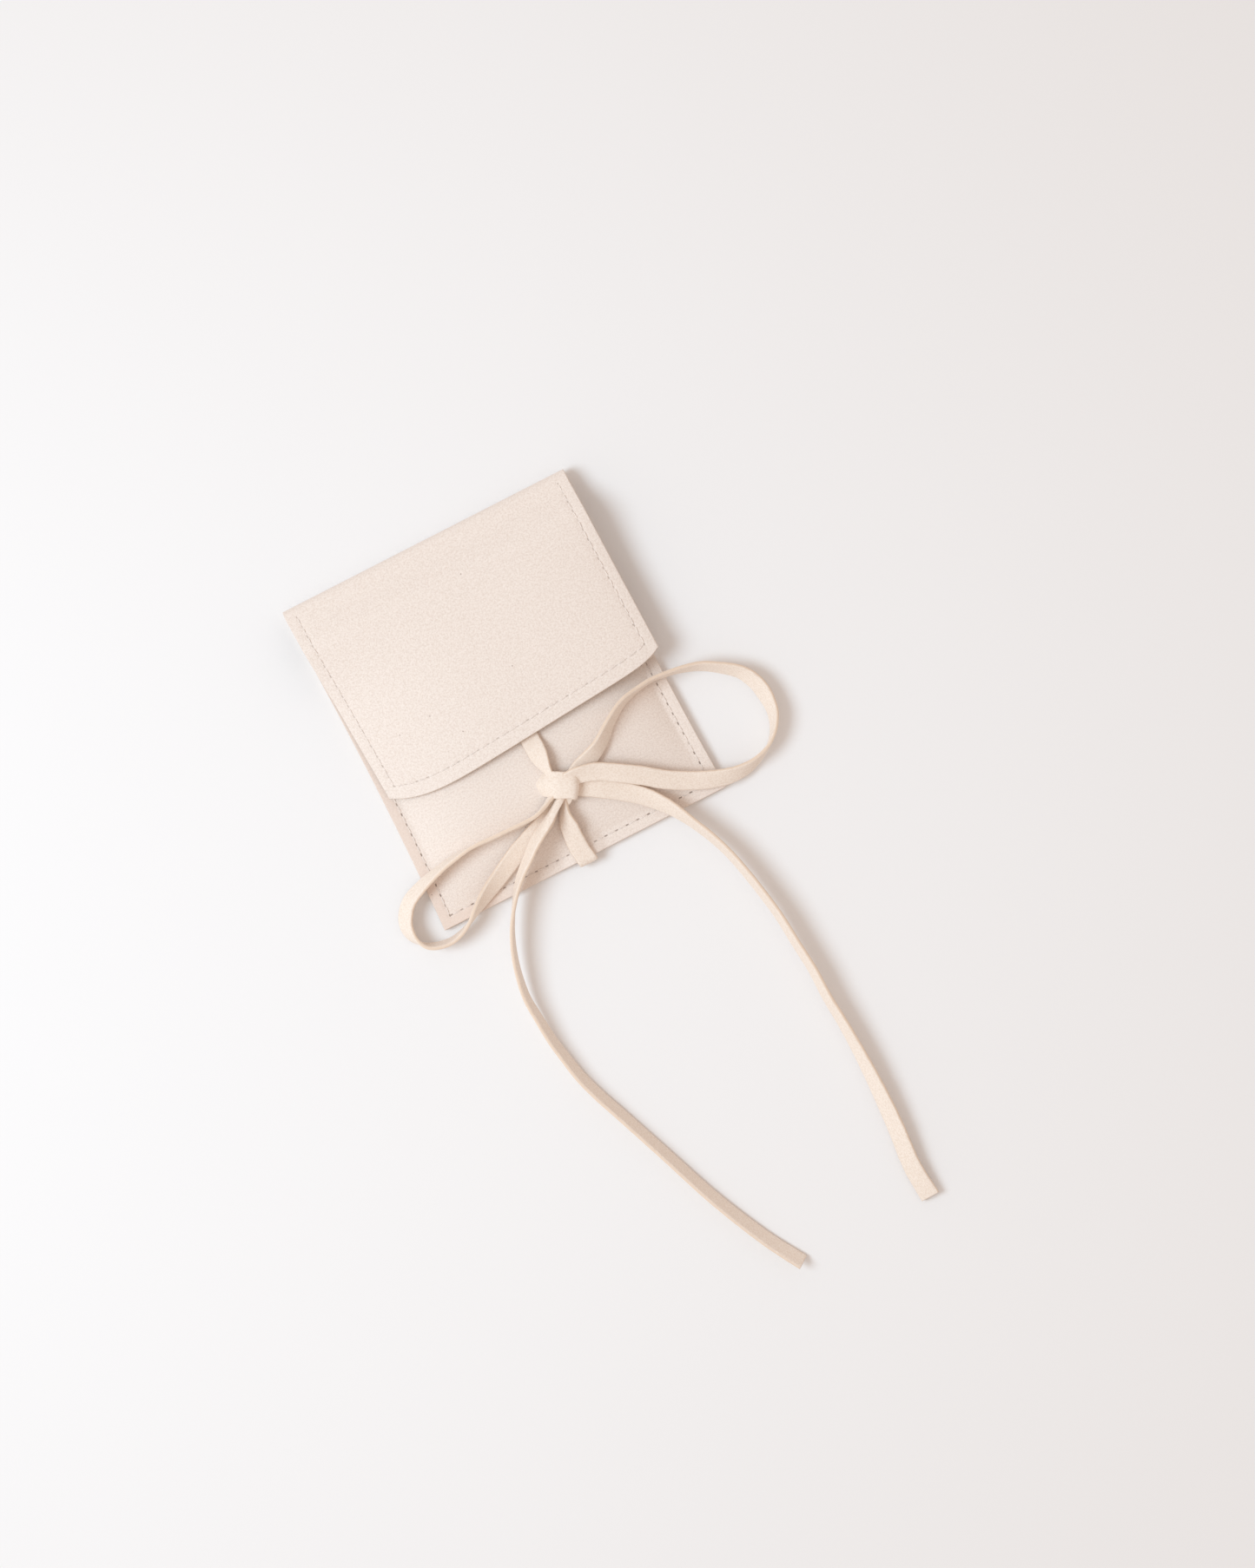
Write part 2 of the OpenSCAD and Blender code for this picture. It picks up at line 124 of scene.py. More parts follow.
LEFT_TAIL_ROUTE = [
    (1.8, -28, 9.2, -26), (-0.2, -29.4, 9.7, -40), (-3.6, -31.8, 10, -50), (-6.8, -34, 9.7, -56),
    (-9.7, -36, 9.2, -60), (-12.6, -38.4, 8.4, -64), (-16.1, -41.3, 7.3, -70),
    (-18.8, -44.1, 6.7, -77), (-20.9, -46.9, 6.2, -85), (-22.9, -49.9, 6.1, -90),
    (-25, -53.7, 5.9, -94), (-27, -58.7, 5.4, -98), (-28.4, -64.1, 4.8, -101), (-29.2, -69.9, 4.1, -105),
    (-28.9, -76, 3.4, -109), (-28.4, -82.2, 2.9, -112), (-27.4, -88.2, 2.7, -114),
    (-26.2, -94, 2.6, -116), (-24.2, -100.2, 2.6, -117), (-21.4, -107.3, 2.5, -118),
    (-16.2, -120.8, 2.5, -119), (-10.2, -136.5, 2.5, -122), (-3.4, -151.1, 2.3, -127),
    (2.5, -161.3, 2.2, -133),
]
RIGHT_TAIL_ROUTE = [
    (6.5, -27.8, 7.6, -6), (11.3, -30.9, 7.2, -8), (15.8, -34, 6.4, -12), (19.3, -36.8, 5.8, -20),
    (22.5, -40.2, 5.4, -34), (25.4, -44.1, 5.2, -52), (28, -48.8, 5.3, -66), (30.7, -54.4, 5.4, -70),
    (32.8, -60, 5.4, -72), (34.4, -66.1, 5.3, -72), (35.8, -73, 5.2, -72), (37, -80.3, 5, -72),
    (37.7, -88.6, 4.7, -71), (38.4, -96.3, 4.4, -70), (38.5, -104.3, 4.1, -68),
    (39.1, -112.5, 3.7, -65), (39.4, -121.1, 3.4, -62), (39.4, -130.2, 3, -58),
    (39, -141.2, 2.6, -52), (38.2, -152, 2.1, -42), (38.8, -161.2, 1.6, -28),
]


def size(name, description, millimetres):
    """A length that a user may change, given in millimetres."""
    return FloatProperty(
        name=name,
        description=description,
        default=millimetres * MM,
        min=0.0,
        unit="LENGTH",
        precision=5,
    )


def colour(name, description, red, green, blue, most=1.0):
    """A colour that a user may change, in linear values of no more than most."""
    return FloatVectorProperty(
        name=name,
        description=description,
        default=(red, green, blue),
        min=0.0,
        max=most,
        size=3,
        subtype="COLOR",
    )


class PouchSizes(bpy.types.PropertyGroup):
    """Sizes of the sheets, the seams and the thread."""

    pouch_w: size("Width", "Width of the pouch at its corners", (BACK_HIGH.x - BACK_LOW.x) / MM)
    pouch_l: size("Length", "Length from the fold to the bottom edge", -2 * BACK_LOW.y / MM)
    side_bow: size("Side bow", "How far each side edge is drawn in half way along", 1)
    pocket_h: size("Pocket height", "Height of the empty pocket at its crown", 5)
    swell_l: size("Swell", "Length over which the front swells up from the bottom seam", 30)
    mouth_drop: size("Mouth", "Distance from the fold to the mouth of the pocket", 14)
    suede_t: size("Suede", "Thickness of the suede", 0.8)
    lining_t: size("Lining", "Thickness of the lining", 0.5)
    layer_gap: size("Layer gap", "Gap between layers that are sewn together", 0.05)
    fold_h: size("Fold height", "Outside height of the fold", 5.6)
    flap_w: size("Flap width", "Width of the flap at its free edge", 78)
    flap_l: size("Flap length", "Length of the flap along its middle, from the fold", 56.5)
    flap_turn: size("Flap turn", "How much further up the free edge is at its right end", 3.2)
    corner_left: size("Left corner", "How far the left corner of the flap is rounded off", 5.4)
    corner_right: size("Right corner", "How far the right corner of the flap is cut back", 2.2)
    flap_set: size("Flap set", "How far the free edge is set over to the right", 1.8)
    droop_left: size("Left droop", "How far the flap's left edge droops below its crown", 6)
    droop_right: size("Right droop", "How far the flap's right edge droops below its crown", 2)
    flap_clear: size("Flap clearance", "Space between the flap and the ribbon under it", 0.6)
    seam_inset: size("Seam inset", "Distance of a stitch line from a side or bottom edge", 2.8)
    hem_inset: size("Hem inset", "Distance of the hem's stitch line from the flap's free edge", 3.9)
    margin_w: size("Margin", "Flat margin of the pocket, outside the swell", 4)
    tab_fade: size("Tab fade", "Length over which the front comes down beside the caught ribbon end", 4)
    stitch_pitch: size("Stitch pitch", "Distance from one stitch to the next", 2.8)
    stitch_l: size("Stitch length", "Length of one stitch on the surface", 2)
    thread_d: size("Thread", "Diameter of the thread", 0.3)
    thread_gap: size("Thread gap", "Height that the thread stands above its sheet", 0.1)
    rim: size("Rim", "How far the middle of a cut edge stands out from its corners", 0.12)
    seam_dip: size("Seam dip", "How deep a stitch line is drawn into the suede", 0.1)
    back_dip: size("Back dip", "How deep the thread lies in the outside of the back", 0.4)
    seam_dip_w: size("Seam dip width", "How wide the drawn-in line is to each side", 0.7)
    wave_h: size("Waves", "Height of the soft waves in the front and the flap", 0.22)


class RibbonSizes(bpy.types.PropertyGroup):
    """Sizes of the ribbon and of its knot."""

    ribbon_w: size("Width", "Width of the ribbon", 5)
    ribbon_t: size("Thickness", "Thickness of the ribbon", 1)
    ring_step: size("Step", "Distance between the ribbon's modelled rings", 0.5)
    knot_w: size("Knot width", "Width of the band across the knot", 7.072)
    knot_step: size("Knot step", "Distance between the knot's modelled rings", 0.35)
    edge_fray: size("Edge fray", "How far the cut edges of the ribbon waver", 0.06)


class PouchColours(bpy.types.PropertyGroup):
    """Colours of the materials."""

    suede: colour("Suede", "Face of the suede", 0.888, 0.793, 0.722)
    suede_deep: colour("Suede grain", "Deep grain of the suede", 0.768, 0.658, 0.582)
    # Colour of the scattered pits, and also of the painted shade on the front's left and bottom-left margins
    suede_pits_and_shade: colour("Pressed suede", "Suede with its nap pressed flat", 0.80, 0.65, 0.56)
    suede_edge: colour("Suede edge", "Cut edge of the suede", 0.84, 0.70, 0.59)
    fleck: colour("Fleck", "Dark flecks in the nap", 0.34, 0.26, 0.22)
    needle_hole: colour("Needle hole", "Shade inside a needle hole", 0.20, 0.125, 0.09)
    lining: colour("Lining", "Face of the lining", 0.79, 0.68, 0.59)
    ribbon: colour("Ribbon", "Face of the ribbon", 0.91, 0.80, 0.705)
    ribbon_deep: colour("Ribbon grain", "Deep grain of the ribbon", 0.79, 0.655, 0.545)
    ribbon_edge: colour("Ribbon edge", "Cut edge of the ribbon", 0.80, 0.635, 0.50)
    thread: colour("Thread", "Seam thread", 0.93, 0.83, 0.76)
    floor: colour("Floor", "Studio floor", 0.87, 0.857, 0.852)


class StudioSettings(bpy.types.PropertyGroup):
    """Camera and light."""

    view_centre: FloatVectorProperty(
        name="View centre",
        description="Point of the floor in the middle of the picture",
        default=(18.1 * MM, -33.2 * MM, 0.0),
        subtype="TRANSLATION",
        unit="LENGTH",
    )
    view_turn: FloatProperty(
        name="View turn",
        description="Turn of the camera about the line of sight",
        default=math.radians(-27.1),
        subtype="ANGLE",
        unit="ROTATION",
    )
    camera_h: size("Camera height", "Height of the camera above the floor", 1000)
    view_h: size("View height", "Length of floor from the bottom to the top of the picture", 398)
    floor_w: size("Floor", "Width of the floor", 6000)
    floor_gap: size("Floor gap", "How far the floor lies below the pouch", 0.05)
    key_power: FloatProperty(
        name="Key power", description="Power of the large soft light", default=1.8, min=0.0, unit="POWER"
    )
    key_size: size("Key size", "Width of the large soft light", 480)
    key_away: size("Key distance", "Distance of the soft light to the left of the picture", 600)
    key_low: size("Key offset", "Distance of the soft light towards the bottom of the picture", 90)
    key_h: size("Key height", "Height of the soft light", 750)
    key_tint: colour("Key tint", "Tint of the soft light", 0.83, 1.02, 1.16, most=2.0)
    key_spread: FloatProperty(
        name="Key spread",
        description="Angle over which the soft light spreads",
        default=math.radians(110),
        min=0.1,
        max=math.pi,
        subtype="ANGLE",
        unit="ROTATION",
    )
    fill: FloatProperty(
        name="Fill", description="Strength of the light from all round", default=0.665, min=0.0
    )
    fill_tint: colour("Fill tint", "Tint of the light from all round", 1.09, 0.963, 0.885, most=2.0)
    seed: IntProperty(name="Seed", description="Seed of the small differences between stitches", default=7)


def ramp(f):
    """Even ramp from 0 to 1."""
    c = np.clip(f, 0.0, 1.0)
    return c * c * (3.0 - 2.0 * c)


def unit(vectors):
    """Vectors of the same directions that are one long."""
    return vectors / np.linalg.norm(vectors, axis=-1, keepdims=True)


class PouchForm:
    """Outlines and heights of the sheets, as functions of place."""

    def __init__(self, sizes, ribbon):
        self.sizes = s = sizes
        self.ribbon_w = ribbon.ribbon_w
        self.lining_z = s.suede_t + s.layer_gap
        self.front_z = self.lining_z + s.lining_t + s.layer_gap
        self.margin_top = self.front_z + s.suede_t
        crown_top = self.margin_top + s.pocket_h
        self.lining_depth = s.suede_t + s.layer_gap
        flap_depth = self.lining_depth + s.lining_t
        self.flap_top = crown_top + 2 * s.thread_gap + ribbon.ribbon_t + s.flap_clear + flap_depth
        self.y_fold = s.pouch_l / 2
        self.y_bottom = -s.pouch_l / 2
        self.fold_r = s.fold_h / 2
        self.y_arc = self.y_fold - self.fold_r
        self.y_mouth = self.y_fold - s.mouth_drop
        self.y_low = self.y_bottom + s.seam_inset
        self.tab_x = LOWER_ROUTE[0][0] * MM
        self.tab_rise = ribbon.ribbon_t + 3 * s.layer_gap
        self.u_side = 1 - 2 * s.seam_inset / s.flap_w
        self.q_low = 1 - s.hem_inset / s.flap_l
        self.edge_stitches = self.stitches_in(s.flap_l - self.fold_r - s.hem_inset)
        self.hem_stitches = self.stitches_in(s.flap_w - 2 * s.seam_inset)

    def half_w(self, y):
        """Half width of the pouch along its length."""
        return self.sizes.pouch_w / 2 - self.sizes.side_bow * (1 - (y / self.y_fold) ** 2)

    def waves(self, x, y):
        """Soft waves of a sheet that isn't quite flat: broad ones both ways and slanted ones over them."""
        broad = np.sin(x / (10.5 * MM) + 0.6) * np.sin(y / (13.5 * MM) + 0.4)
        slanted = np.sin((x + 0.7 * y) / (8.2 * MM) + 2.0)
        return self.sizes.wave_h * (0.65 * broad + 0.35 * slanted)

    def front_top(self, x, y):
        """Top of the front panel."""
        s = self.sizes
        inner = np.minimum(np.abs(x) / (self.half_w(y) - s.margin_w), 1.0)
        across = 1 - inner**4
        along = 1 - (1 - np.clip((y - self.y_bottom - s.margin_w) / s.swell_l, 0.0, 1.0)) ** 3
        tab_across = 1 - ramp((np.abs(x - self.tab_x) - self.ribbon_w / 2 - s.layer_gap) / s.tab_fade)
        tab_along = 1 - ramp((y - self.y_bottom - s.margin_w) / s.tab_fade)
        swell = across * along
        height = self.margin_top + s.pocket_h * swell + self.tab_rise * tab_across * tab_along
        return height + self.waves(x, y) * swell

    def flap_place(self, u, q):
        """Place across and along the flap: u from -1 to 1, q from 0 at the fold to 1 at the free edge."""
        s = self.sizes
        half = self.half_w(self.y_arc) + (s.flap_w / 2 - self.half_w(self.y_arc)) * q
        corner = np.where(u < 0, s.corner_left * np.abs(u) ** 5, s.corner_right * u**10)
        tip = self.y_fold - s.flap_l + s.flap_turn * u + corner
        return u * half + s.flap_set * q, self.y_arc + (tip - self.y_arc) * q

    def flap_height(self, u, x, y):
        """Height of the flap's outer face."""
        s = self.sizes
        rise = ramp((self.y_arc - y) / (self.y_arc - self.y_mouth))
        droop = np.where(u < 0, s.droop_left * np.abs(u) ** 2.4, s.droop_right * u**4)
        fall = ramp((self.y_arc - y) / (s.flap_l / 2))
        height = s.fold_h + (self.flap_top - s.fold_h) * rise - droop * fall
        return height + self.waves(y, x) * rise * (1 - u**4)

    def flap_point(self, u, q, depth):
        """A point of the flap, depth below its outer face."""
        x, y = self.flap_place(u, q)
        return np.stack([x, y, self.flap_height(u, x, y) - depth], axis=-1)

    def fold_point(self, u, angle, depth):
        """A point of the round fold: the angle is -90 degrees under it and 90 degrees over it."""
        x = u * self.half_w(self.y_arc)
        y = self.y_arc + (self.fold_r - depth) * np.cos(angle)
        z = self.fold_r + (self.fold_r - depth) * np.sin(angle)
        return np.stack([x + 0 * angle, y + 0 * u, z + 0 * u], axis=-1)

    def back_point(self, u, y, depth):
        """A point of the back, depth above its outer face."""
        return np.stack([u * self.half_w(y), y + 0 * u, depth + 0 * u * y], axis=-1)

    def stitches_in(self, run):
        """How many stitches a row of that length has."""
        return math.floor(run / self.sizes.stitch_pitch)


def crowded(count):
    """Places from -1 to 1 that lie closer together towards both ends."""
    t = np.linspace(-1.0, 1.0, count)
    pull = 0.35
    return t * (1 + pull - pull * t * t)


def new_piece(name, points, faces, attributes):
    """A smooth closed mesh object with named point attributes, its faces turned outwards."""
    mesh = bpy.data.meshes.new(name)
    mesh.from_pydata(points.tolist(), [], faces.tolist())
    for key, values in attributes.items():
        kind, field = ("FLOAT_VECTOR", "vector") if values.ndim == 2 else ("FLOAT", "value")
        mesh.attributes.new(key, kind, "POINT").data.foreach_set(field, values.astype(np.float32).ravel())
    shape = bmesh.new()
    shape.from_mesh(mesh)
    bmesh.ops.recalc_face_normals(shape, faces=shape.faces)
    shape.to_mesh(mesh)
    shape.free()
    mesh.shade_smooth()
    piece = bpy.data.objects.new(name, mesh)
    bpy.context.scene.collection.objects.link(piece)
    return piece


def grid_faces(rows, columns, first):
    """Quads of a grid whose points start at first, row by row."""
    at = first + np.arange(rows * columns).reshape(rows, columns)
    corners = [at[:-1, :-1], at[1:, :-1], at[1:, 1:], at[:-1, 1:]]
    return np.stack(corners, axis=-1).reshape(-1, 4)


def border(grid):
    """The values of a grid's outer loop, once round."""
    return np.concatenate([grid[0, :-1], grid[:-1, -1], grid[-1, :0:-1], grid[:0:-1, 0]])


def outward(grid):
    """Unit directions that point out of a grid along its outer loop."""
    way = np.zeros_like(grid)
    ends = ((0, 1), (-1, -2))
    for edge, inner in ends:
        way[edge] = grid[edge] - grid[inner]
        way[:, edge] = grid[:, edge] - grid[:, inner]
    for row, inner in ends:
        for column, beside in ends:
            along = unit(grid[row, column] - grid[inner, column])
            across = unit(grid[row, column] - grid[row, beside])
            way[row, column] = along + across
    return unit(border(way))


def closed_sheet(name, outer, inner, rim, values):
    """A sheet between two grids, with a rounded cut edge.

    values holds grids of point attributes for the outer and the inner face.
    """
    rows, columns = outer.shape[:2]
    count = rows * columns
    loop_outer, loop_inner = border(outer), border(inner)
    way = outward(outer)
    shares = (0.22, 0.5, 0.78)
    rings = [
        loop_outer + (loop_inner - loop_outer) * f + way * rim * math.sin(math.pi * f) ** 0.6
        for f in shares
    ]
    points = np.concatenate([outer.reshape(-1, 3), inner.reshape(-1, 3), *rings])
    at = np.arange(count).reshape(rows, columns)
    loops = [border(at)]
    loops += [2 * count + k * len(way) + np.arange(len(way)) for k in range(len(shares))]
    loops += [count + border(at)]
    faces = [grid_faces(rows, columns, 0), grid_faces(rows, columns, count)[:, ::-1]]
    for a, b in zip(loops, loops[1:]):
        faces.append(np.stack([a, np.roll(a, -1), np.roll(b, -1), b], axis=-1))
    attributes = {}
    for key, (face_outer, face_inner) in values.items():
        width = face_outer.shape[2:]
        middle = [border(face_outer) * (1 - f) + border(face_inner) * f for f in shares]
        attributes[key] = np.concatenate(
            [face_outer.reshape(-1, *width), face_inner.reshape(-1, *width), *middle]
        )
    cut = np.zeros(len(points))
    cut[2 * count:] = 1.0
    cut[border(at)] = 0.5
    cut[count + border(at)] = 0.5
    attributes["cut"] = cut
    return new_piece(name, points, np.concatenate(faces), attributes)


def seam_values(off_side, run_side, off_low, run_low):
    """Seam attributes of a face: offset from each stitch line in millimetres, and stitches along it."""
    off = np.stack([off_side / MM, off_low / MM, 0 * off_low], axis=-1)
    run = np.stack([run_side, run_low, 0 * run_low], axis=-1)
    return off, run


def seam_dip(sizes, off, run):
    """How far the stitch lines draw a face in: most at the needle holes, and less past a line's end."""
    width = sizes.seam_dip_w / MM
    lines = np.exp(-((off[..., :2] / width) ** 2)) * (1 + 0.35 * np.cos(2 * math.pi * run[..., :2]))
    within = (off[..., :2] > -0.5).all(axis=-1)
    return sizes.seam_dip * lines.max(axis=-1) * np.where(within, 1.0, 0.4)


def side_seam(form, x, y, y_top):
    """Offset from the stitch line along a side, and stitches along it from the bottom to y_top."""
    run = y_top - form.y_low
    off = form.half_w(y) - np.abs(x) - form.sizes.seam_inset
    return off, (y - form.y_low) / run * form.stitches_in(run)


def bottom_row(form):
    """How far from the ribbon's middle each bottom row of stitches starts and ends."""
    reach = form.half_w(form.y_low) - form.sizes.seam_inset
    return reach, form.ribbon_w / 2 + form.sizes.stitch_pitch / 2


def front_seams(form, x, y):
    """Seam attributes of the front panel."""
    reach, tab = bottom_row(form)
    run_low = (reach - np.abs(x - form.tab_x)) / (reach - tab) * form.stitches_in(reach - tab)
    return seam_values(*side_seam(form, x, y, form.y_mouth), y - form.y_low, run_low)


def back_seams(form, x, y):
    """Seam attributes of the back."""
    reach, _ = bottom_row(form)
    run_low = (x + reach) / (2 * reach) * form.stitches_in(2 * reach)
    return seam_values(*side_seam(form, x, y, form.y_arc), y - form.y_low, run_low)


def flap_seams(form, u, q):
    """Seam attributes of the flap."""
    s = form.sizes
    off_side = (form.u_side - np.abs(u)) * s.flap_w / 2
    run_side = q / form.q_low * form.edge_stitches
    off_low = (form.q_low - q) * (s.flap_l - form.fold_r)
    run_low = (u / form.u_side + 1) / 2 * form.hem_stitches
    return seam_values(off_side, run_side, off_low, run_low)


class Value:
    """A socket that takes part in arithmetic: each operator adds one Math node."""

    def __init__(self, finish, socket):
        self.finish = finish
        self.socket = socket

    def math(self, operation, *terms):
        keys = ("Value", "Value_001", "Value_002")
        return self.finish.node("ShaderNodeMath", {"operation": operation}, dict(zip(keys, terms)))

    def __add__(self, other):
        return self.math("ADD", self, other)

    def __sub__(self, other):
        return self.math("SUBTRACT", self, other)

    def __rsub__(self, other):
        return self.math("SUBTRACT", other, self)

    def __mul__(self, other):
        return self.math("MULTIPLY", self, other)

    def __abs__(self):
        return self.math("ABSOLUTE", self)

    def __gt__(self, other):
        return self.math("GREATER_THAN", self, other)

    __radd__ = __add__
    __rmul__ = __mul__

    def wave(self):
        """Distance to the nearest whole number, from 0 to a half."""
        return abs(self.math("FRACT", self + 0.5) - 0.5)


class Finish:
    """One material and its nodes."""

    def __init__(self, name):
        self.material = bpy.data.materials.new(name)
        self.material.use_nodes = True
        self.tree = self.material.node_tree
        self.tree.nodes.clear()

    def node(self, kind, settings=None, inputs=None, out=0):
        """Adds a node: its settings first, then the values or links of its sockets."""
        node = self.tree.nodes.new(kind)
        for key, value in (settings or {}).items():
            setattr(node, key, value)
        for key, value in (inputs or {}).items():
            socket = self.socket(node.inputs, key)
            if isinstance(value, Value):
                self.tree.links.new(value.socket, socket)
            else:
                socket.default_value = value
        return Value(self, self.socket(node.outputs, out)) if node.outputs else None

    @staticmethod
    def socket(sockets, key):
        """A socket by its identifier, or else by its name or number."""
        for socket in sockets:
            if socket.identifier == key:
                return socket
        return sockets[key]

    def attribute(self, name, out="Vector"):
        return self.node("ShaderNodeAttribute", {"attribute_name": name}, out=out)

    def parts(self, vector):
        """The three numbers of a vector."""
        first = self.node("ShaderNodeSeparateXYZ", None, {"Vector": vector}, out="X")
        node = first.socket.node
        return first, Value(self, node.outputs["Y"]), Value(self, node.outputs["Z"])

    def noise(self, vector, scale, detail=3.0, rough=0.55):
        inputs = {"Vector": vector, "Scale": scale, "Detail": detail, "Roughness": rough}
        return self.node("ShaderNodeTexNoise", None, inputs, out="Fac")

    def ease(self, value, low, high):
        """0 below low, 1 above high and an even ramp between."""
        inputs = {"Value": value, "From Min": low, "From Max": high}
        return self.node("ShaderNodeMapRange", {"interpolation_type": "SMOOTHSTEP"}, inputs, out="Result")

    def mix(self, factor, a, b):
        """From colour a at factor 0 to colour b at factor 1."""
        inputs = {"Factor_Float": factor, "A_Color": a, "B_Color": b}
        return self.node("ShaderNodeMix", {"data_type": "RGBA"}, inputs, out="Result_Color")

    def bump(self, height, distance, strength=1.0):
        inputs = {"Height": height, "Distance": distance, "Strength": strength}
        return self.node("ShaderNodeBump", None, inputs, out="Normal")

    def surface(self, inputs):
        """The principled shader and the output."""
        shader = self.node("ShaderNodeBsdfPrincipled", None, inputs, out="BSDF")
        self.node("ShaderNodeOutputMaterial", None, {"Surface": shader})
        return self.material


def solid(rgb, share=1.0):
    """A colour with its alpha, darkened to a share of itself."""
    return (*(share * c for c in rgb), 1.0)


def suede_grain(finish, cloth):
    """Grain, fine nap and scattered pits of brushed suede, each from 0 to 1."""
    grain = finish.noise(cloth, 1.9, 3.0, 0.65)
    nap = finish.noise(cloth, 4.6, 3.0, 0.6)
    pits = 1 - finish.ease(finish.noise(cloth, 1.7, 2.0, 0.7), 0.22, 0.36)
    return grain, nap, pits


def suede_flecks(finish, cloth):
    """Small dark flecks, in some of the cells of a wide scatter."""
    settings = {"feature": "F1"}
    inputs = {"Vector": cloth, "Scale": 0.21, "Randomness": 1.0}
    near = finish.node("ShaderNodeTexVoronoi", settings, inputs, out="Distance")
    cell = Value(finish, near.socket.node.outputs["Color"])
    chance = finish.parts(cell)[0]
    return (1 - finish.ease(near, 0.025, 0.05)) * finish.ease(chance, 0.35, 0.9)


def needle_holes(finish):
    """Mask of the needle holes along both stitch lines of a face, some drawn tighter than others."""
    off_side, off_low, _ = finish.parts(finish.attribute("seam_off"))
    run_side, run_low, _ = finish.parts(finish.attribute("seam_run"))
    masks = []
    for off, run, other in ((off_side, run_side, off_low), (off_low, run_low, off_side)):
        across = 1 - finish.ease(abs(off), 0.03, 0.24)
        along = 1 - finish.ease(run.wave(), 0.06, 0.2)
        number = run.math("ROUND", run)
        chance = finish.node("ShaderNodeTexWhiteNoise", {"noise_dimensions": "1D"}, {"W": number})
        masks.append(across * along * (0.45 + 0.55 * chance) * (other > -0.25))
    return masks[0].math("MAXIMUM", *masks)


def sewn_and_cut(finish, colours, base, edge_share):
    """A sheet's colour with its cut edge and its needle holes, and the mask of the holes."""
    cut = finish.ease(finish.attribute("cut", "Fac"), 0.2, 1.0)
    base = finish.mix(cut * edge_share, base, solid(colours.suede_edge))
    holes = needle_holes(finish) * finish.attribute("hole_depth", "Fac")
    # Painted shade inside the needle holes
    return finish.mix(holes, base, solid(colours.needle_hole)), holes


def suede_finish(colours):
    """Brushed suede with flecks, pressed margins, cut edges and needle holes."""
    finish = Finish("brushed_suede")
    cloth = finish.attribute("cloth")
    grain, nap, pits = suede_grain(finish, cloth)
    shade = finish.ease(grain * 0.5 + nap * 0.5, 0.37, 0.6)
    base = finish.mix(shade, solid(colours.suede_deep), solid(colours.suede))
    base = finish.mix(pits * 0.6, base, solid(colours.suede_pits_and_shade))
    # Painted shade on the margins, in the colour of the pits
    pressed = finish.attribute("pressed", "Fac") * (0.55 + 0.45 * nap)
    base = finish.mix(pressed, base, solid(colours.suede_pits_and_shade))
    base = finish.mix(suede_flecks(finish, cloth) * 0.7, base, solid(colours.fleck))
    base, holes = sewn_and_cut(finish, colours, base, 0.75)
    height = grain * 0.7 + nap * 0.3 - holes * 2.0
    return finish.surface({
        "Base Color": base,
        "Roughness": 0.86 + 0.12 * nap,
        "Normal": finish.bump(height, 0.16 * MM, 0.8),
        "Specular IOR Level": 0.12,
        "Sheen Weight": 0.18,
        "Sheen Roughness": 0.45,
    })


def ribbon_finish(colours):
    """Suede ribbon, finer than the sheets, with tan cut edges."""
    finish = Finish("ribbon_suede")
    cloth = finish.attribute("cloth")
    grain, nap, _ = suede_grain(finish, cloth)
    shade = finish.ease(grain * 0.55 + nap * 0.45, 0.34, 0.62)
    base = finish.mix(shade, solid(colours.ribbon_deep), solid(colours.ribbon))
    cut = finish.ease(finish.attribute("cut", "Fac") + (nap - 0.5) * 0.6, 0.4, 1.0)
    base = finish.mix(cut * 0.9, base, solid(colours.ribbon_edge))
    return finish.surface({
        "Base Color": base,
        "Roughness": 0.84 + 0.14 * nap,
        "Normal": finish.bump(grain * 0.6 + nap * 0.4, 0.1 * MM, 0.7),
        "Specular IOR Level": 0.12,
        "Sheen Weight": 0.2,
        "Sheen Roughness": 0.45,
    })


def lining_finish(colours):
    """Closely knitted lining cloth: fine ribs along it, crossed by its rows."""
    finish = Finish("lining_cloth")
    cloth = finish.attribute("cloth")
    across, along, _ = finish.parts(cloth)
    rib = (across * 2.2).wave() * 2.0
    row = (along * 1.8 + rib * 0.5).wave() * 2.0
    clouds = finish.noise(cloth, 0.4, 3.0)
    weave = rib * 0.6 + row * 0.4
    shade = finish.ease(weave * 0.5 + clouds * 0.5, 0.2, 0.75)
    base = finish.mix(shade, solid(colours.lining, 0.86), solid(colours.lining))
    base, holes = sewn_and_cut(finish, colours, base, 0.7)
    return finish.surface({
        "Base Color": base,
        "Roughness": 0.8 + 0.15 * weave,
        "Normal": finish.bump(weave - holes * 1.5, 0.06 * MM, 0.8),
        "Specular IOR Level": 0.2,
        "Sheen Weight": 0.1,
        "Sheen Roughness": 0.5,
    })


def thread_finish(colours):
    """Twisted sewing thread with fine fibres."""
    finish = Finish("sewing_thread")
    place = finish.node("ShaderNodeTexCoord", out="Object")
    fibres = finish.noise(place, 5200.0, 3.0)
    tone = finish.noise(place, 420.0, 2.0)
    shade = finish.ease(fibres * 0.6 + tone * 0.4, 0.3, 0.62)
    return finish.surface({
        "Base Color": finish.mix(shade, solid(colours.thread, 0.78), solid(colours.thread)),
        "Roughness": 0.6 + 0.25 * fibres,
        "Normal": finish.bump(fibres, 0.03 * MM, 0.6),
        "Specular IOR Level": 0.3,
        "Sheen Weight": 0.15,
    })


def floor_finish(colours):
    """Matt white studio board, with hardly visible clouds."""
    finish = Finish("studio_board")
    place = finish.node("ShaderNodeTexCoord", out="Object")
    clouds = finish.noise(place, 6.0, 2.0)
    return finish.surface({
        "Base Color": finish.mix(clouds, solid(colours.floor, 0.985), solid(colours.floor)),
        "Roughness": 0.55 + 0.1 * clouds,
        "Specular IOR Level": 0.15,
    })


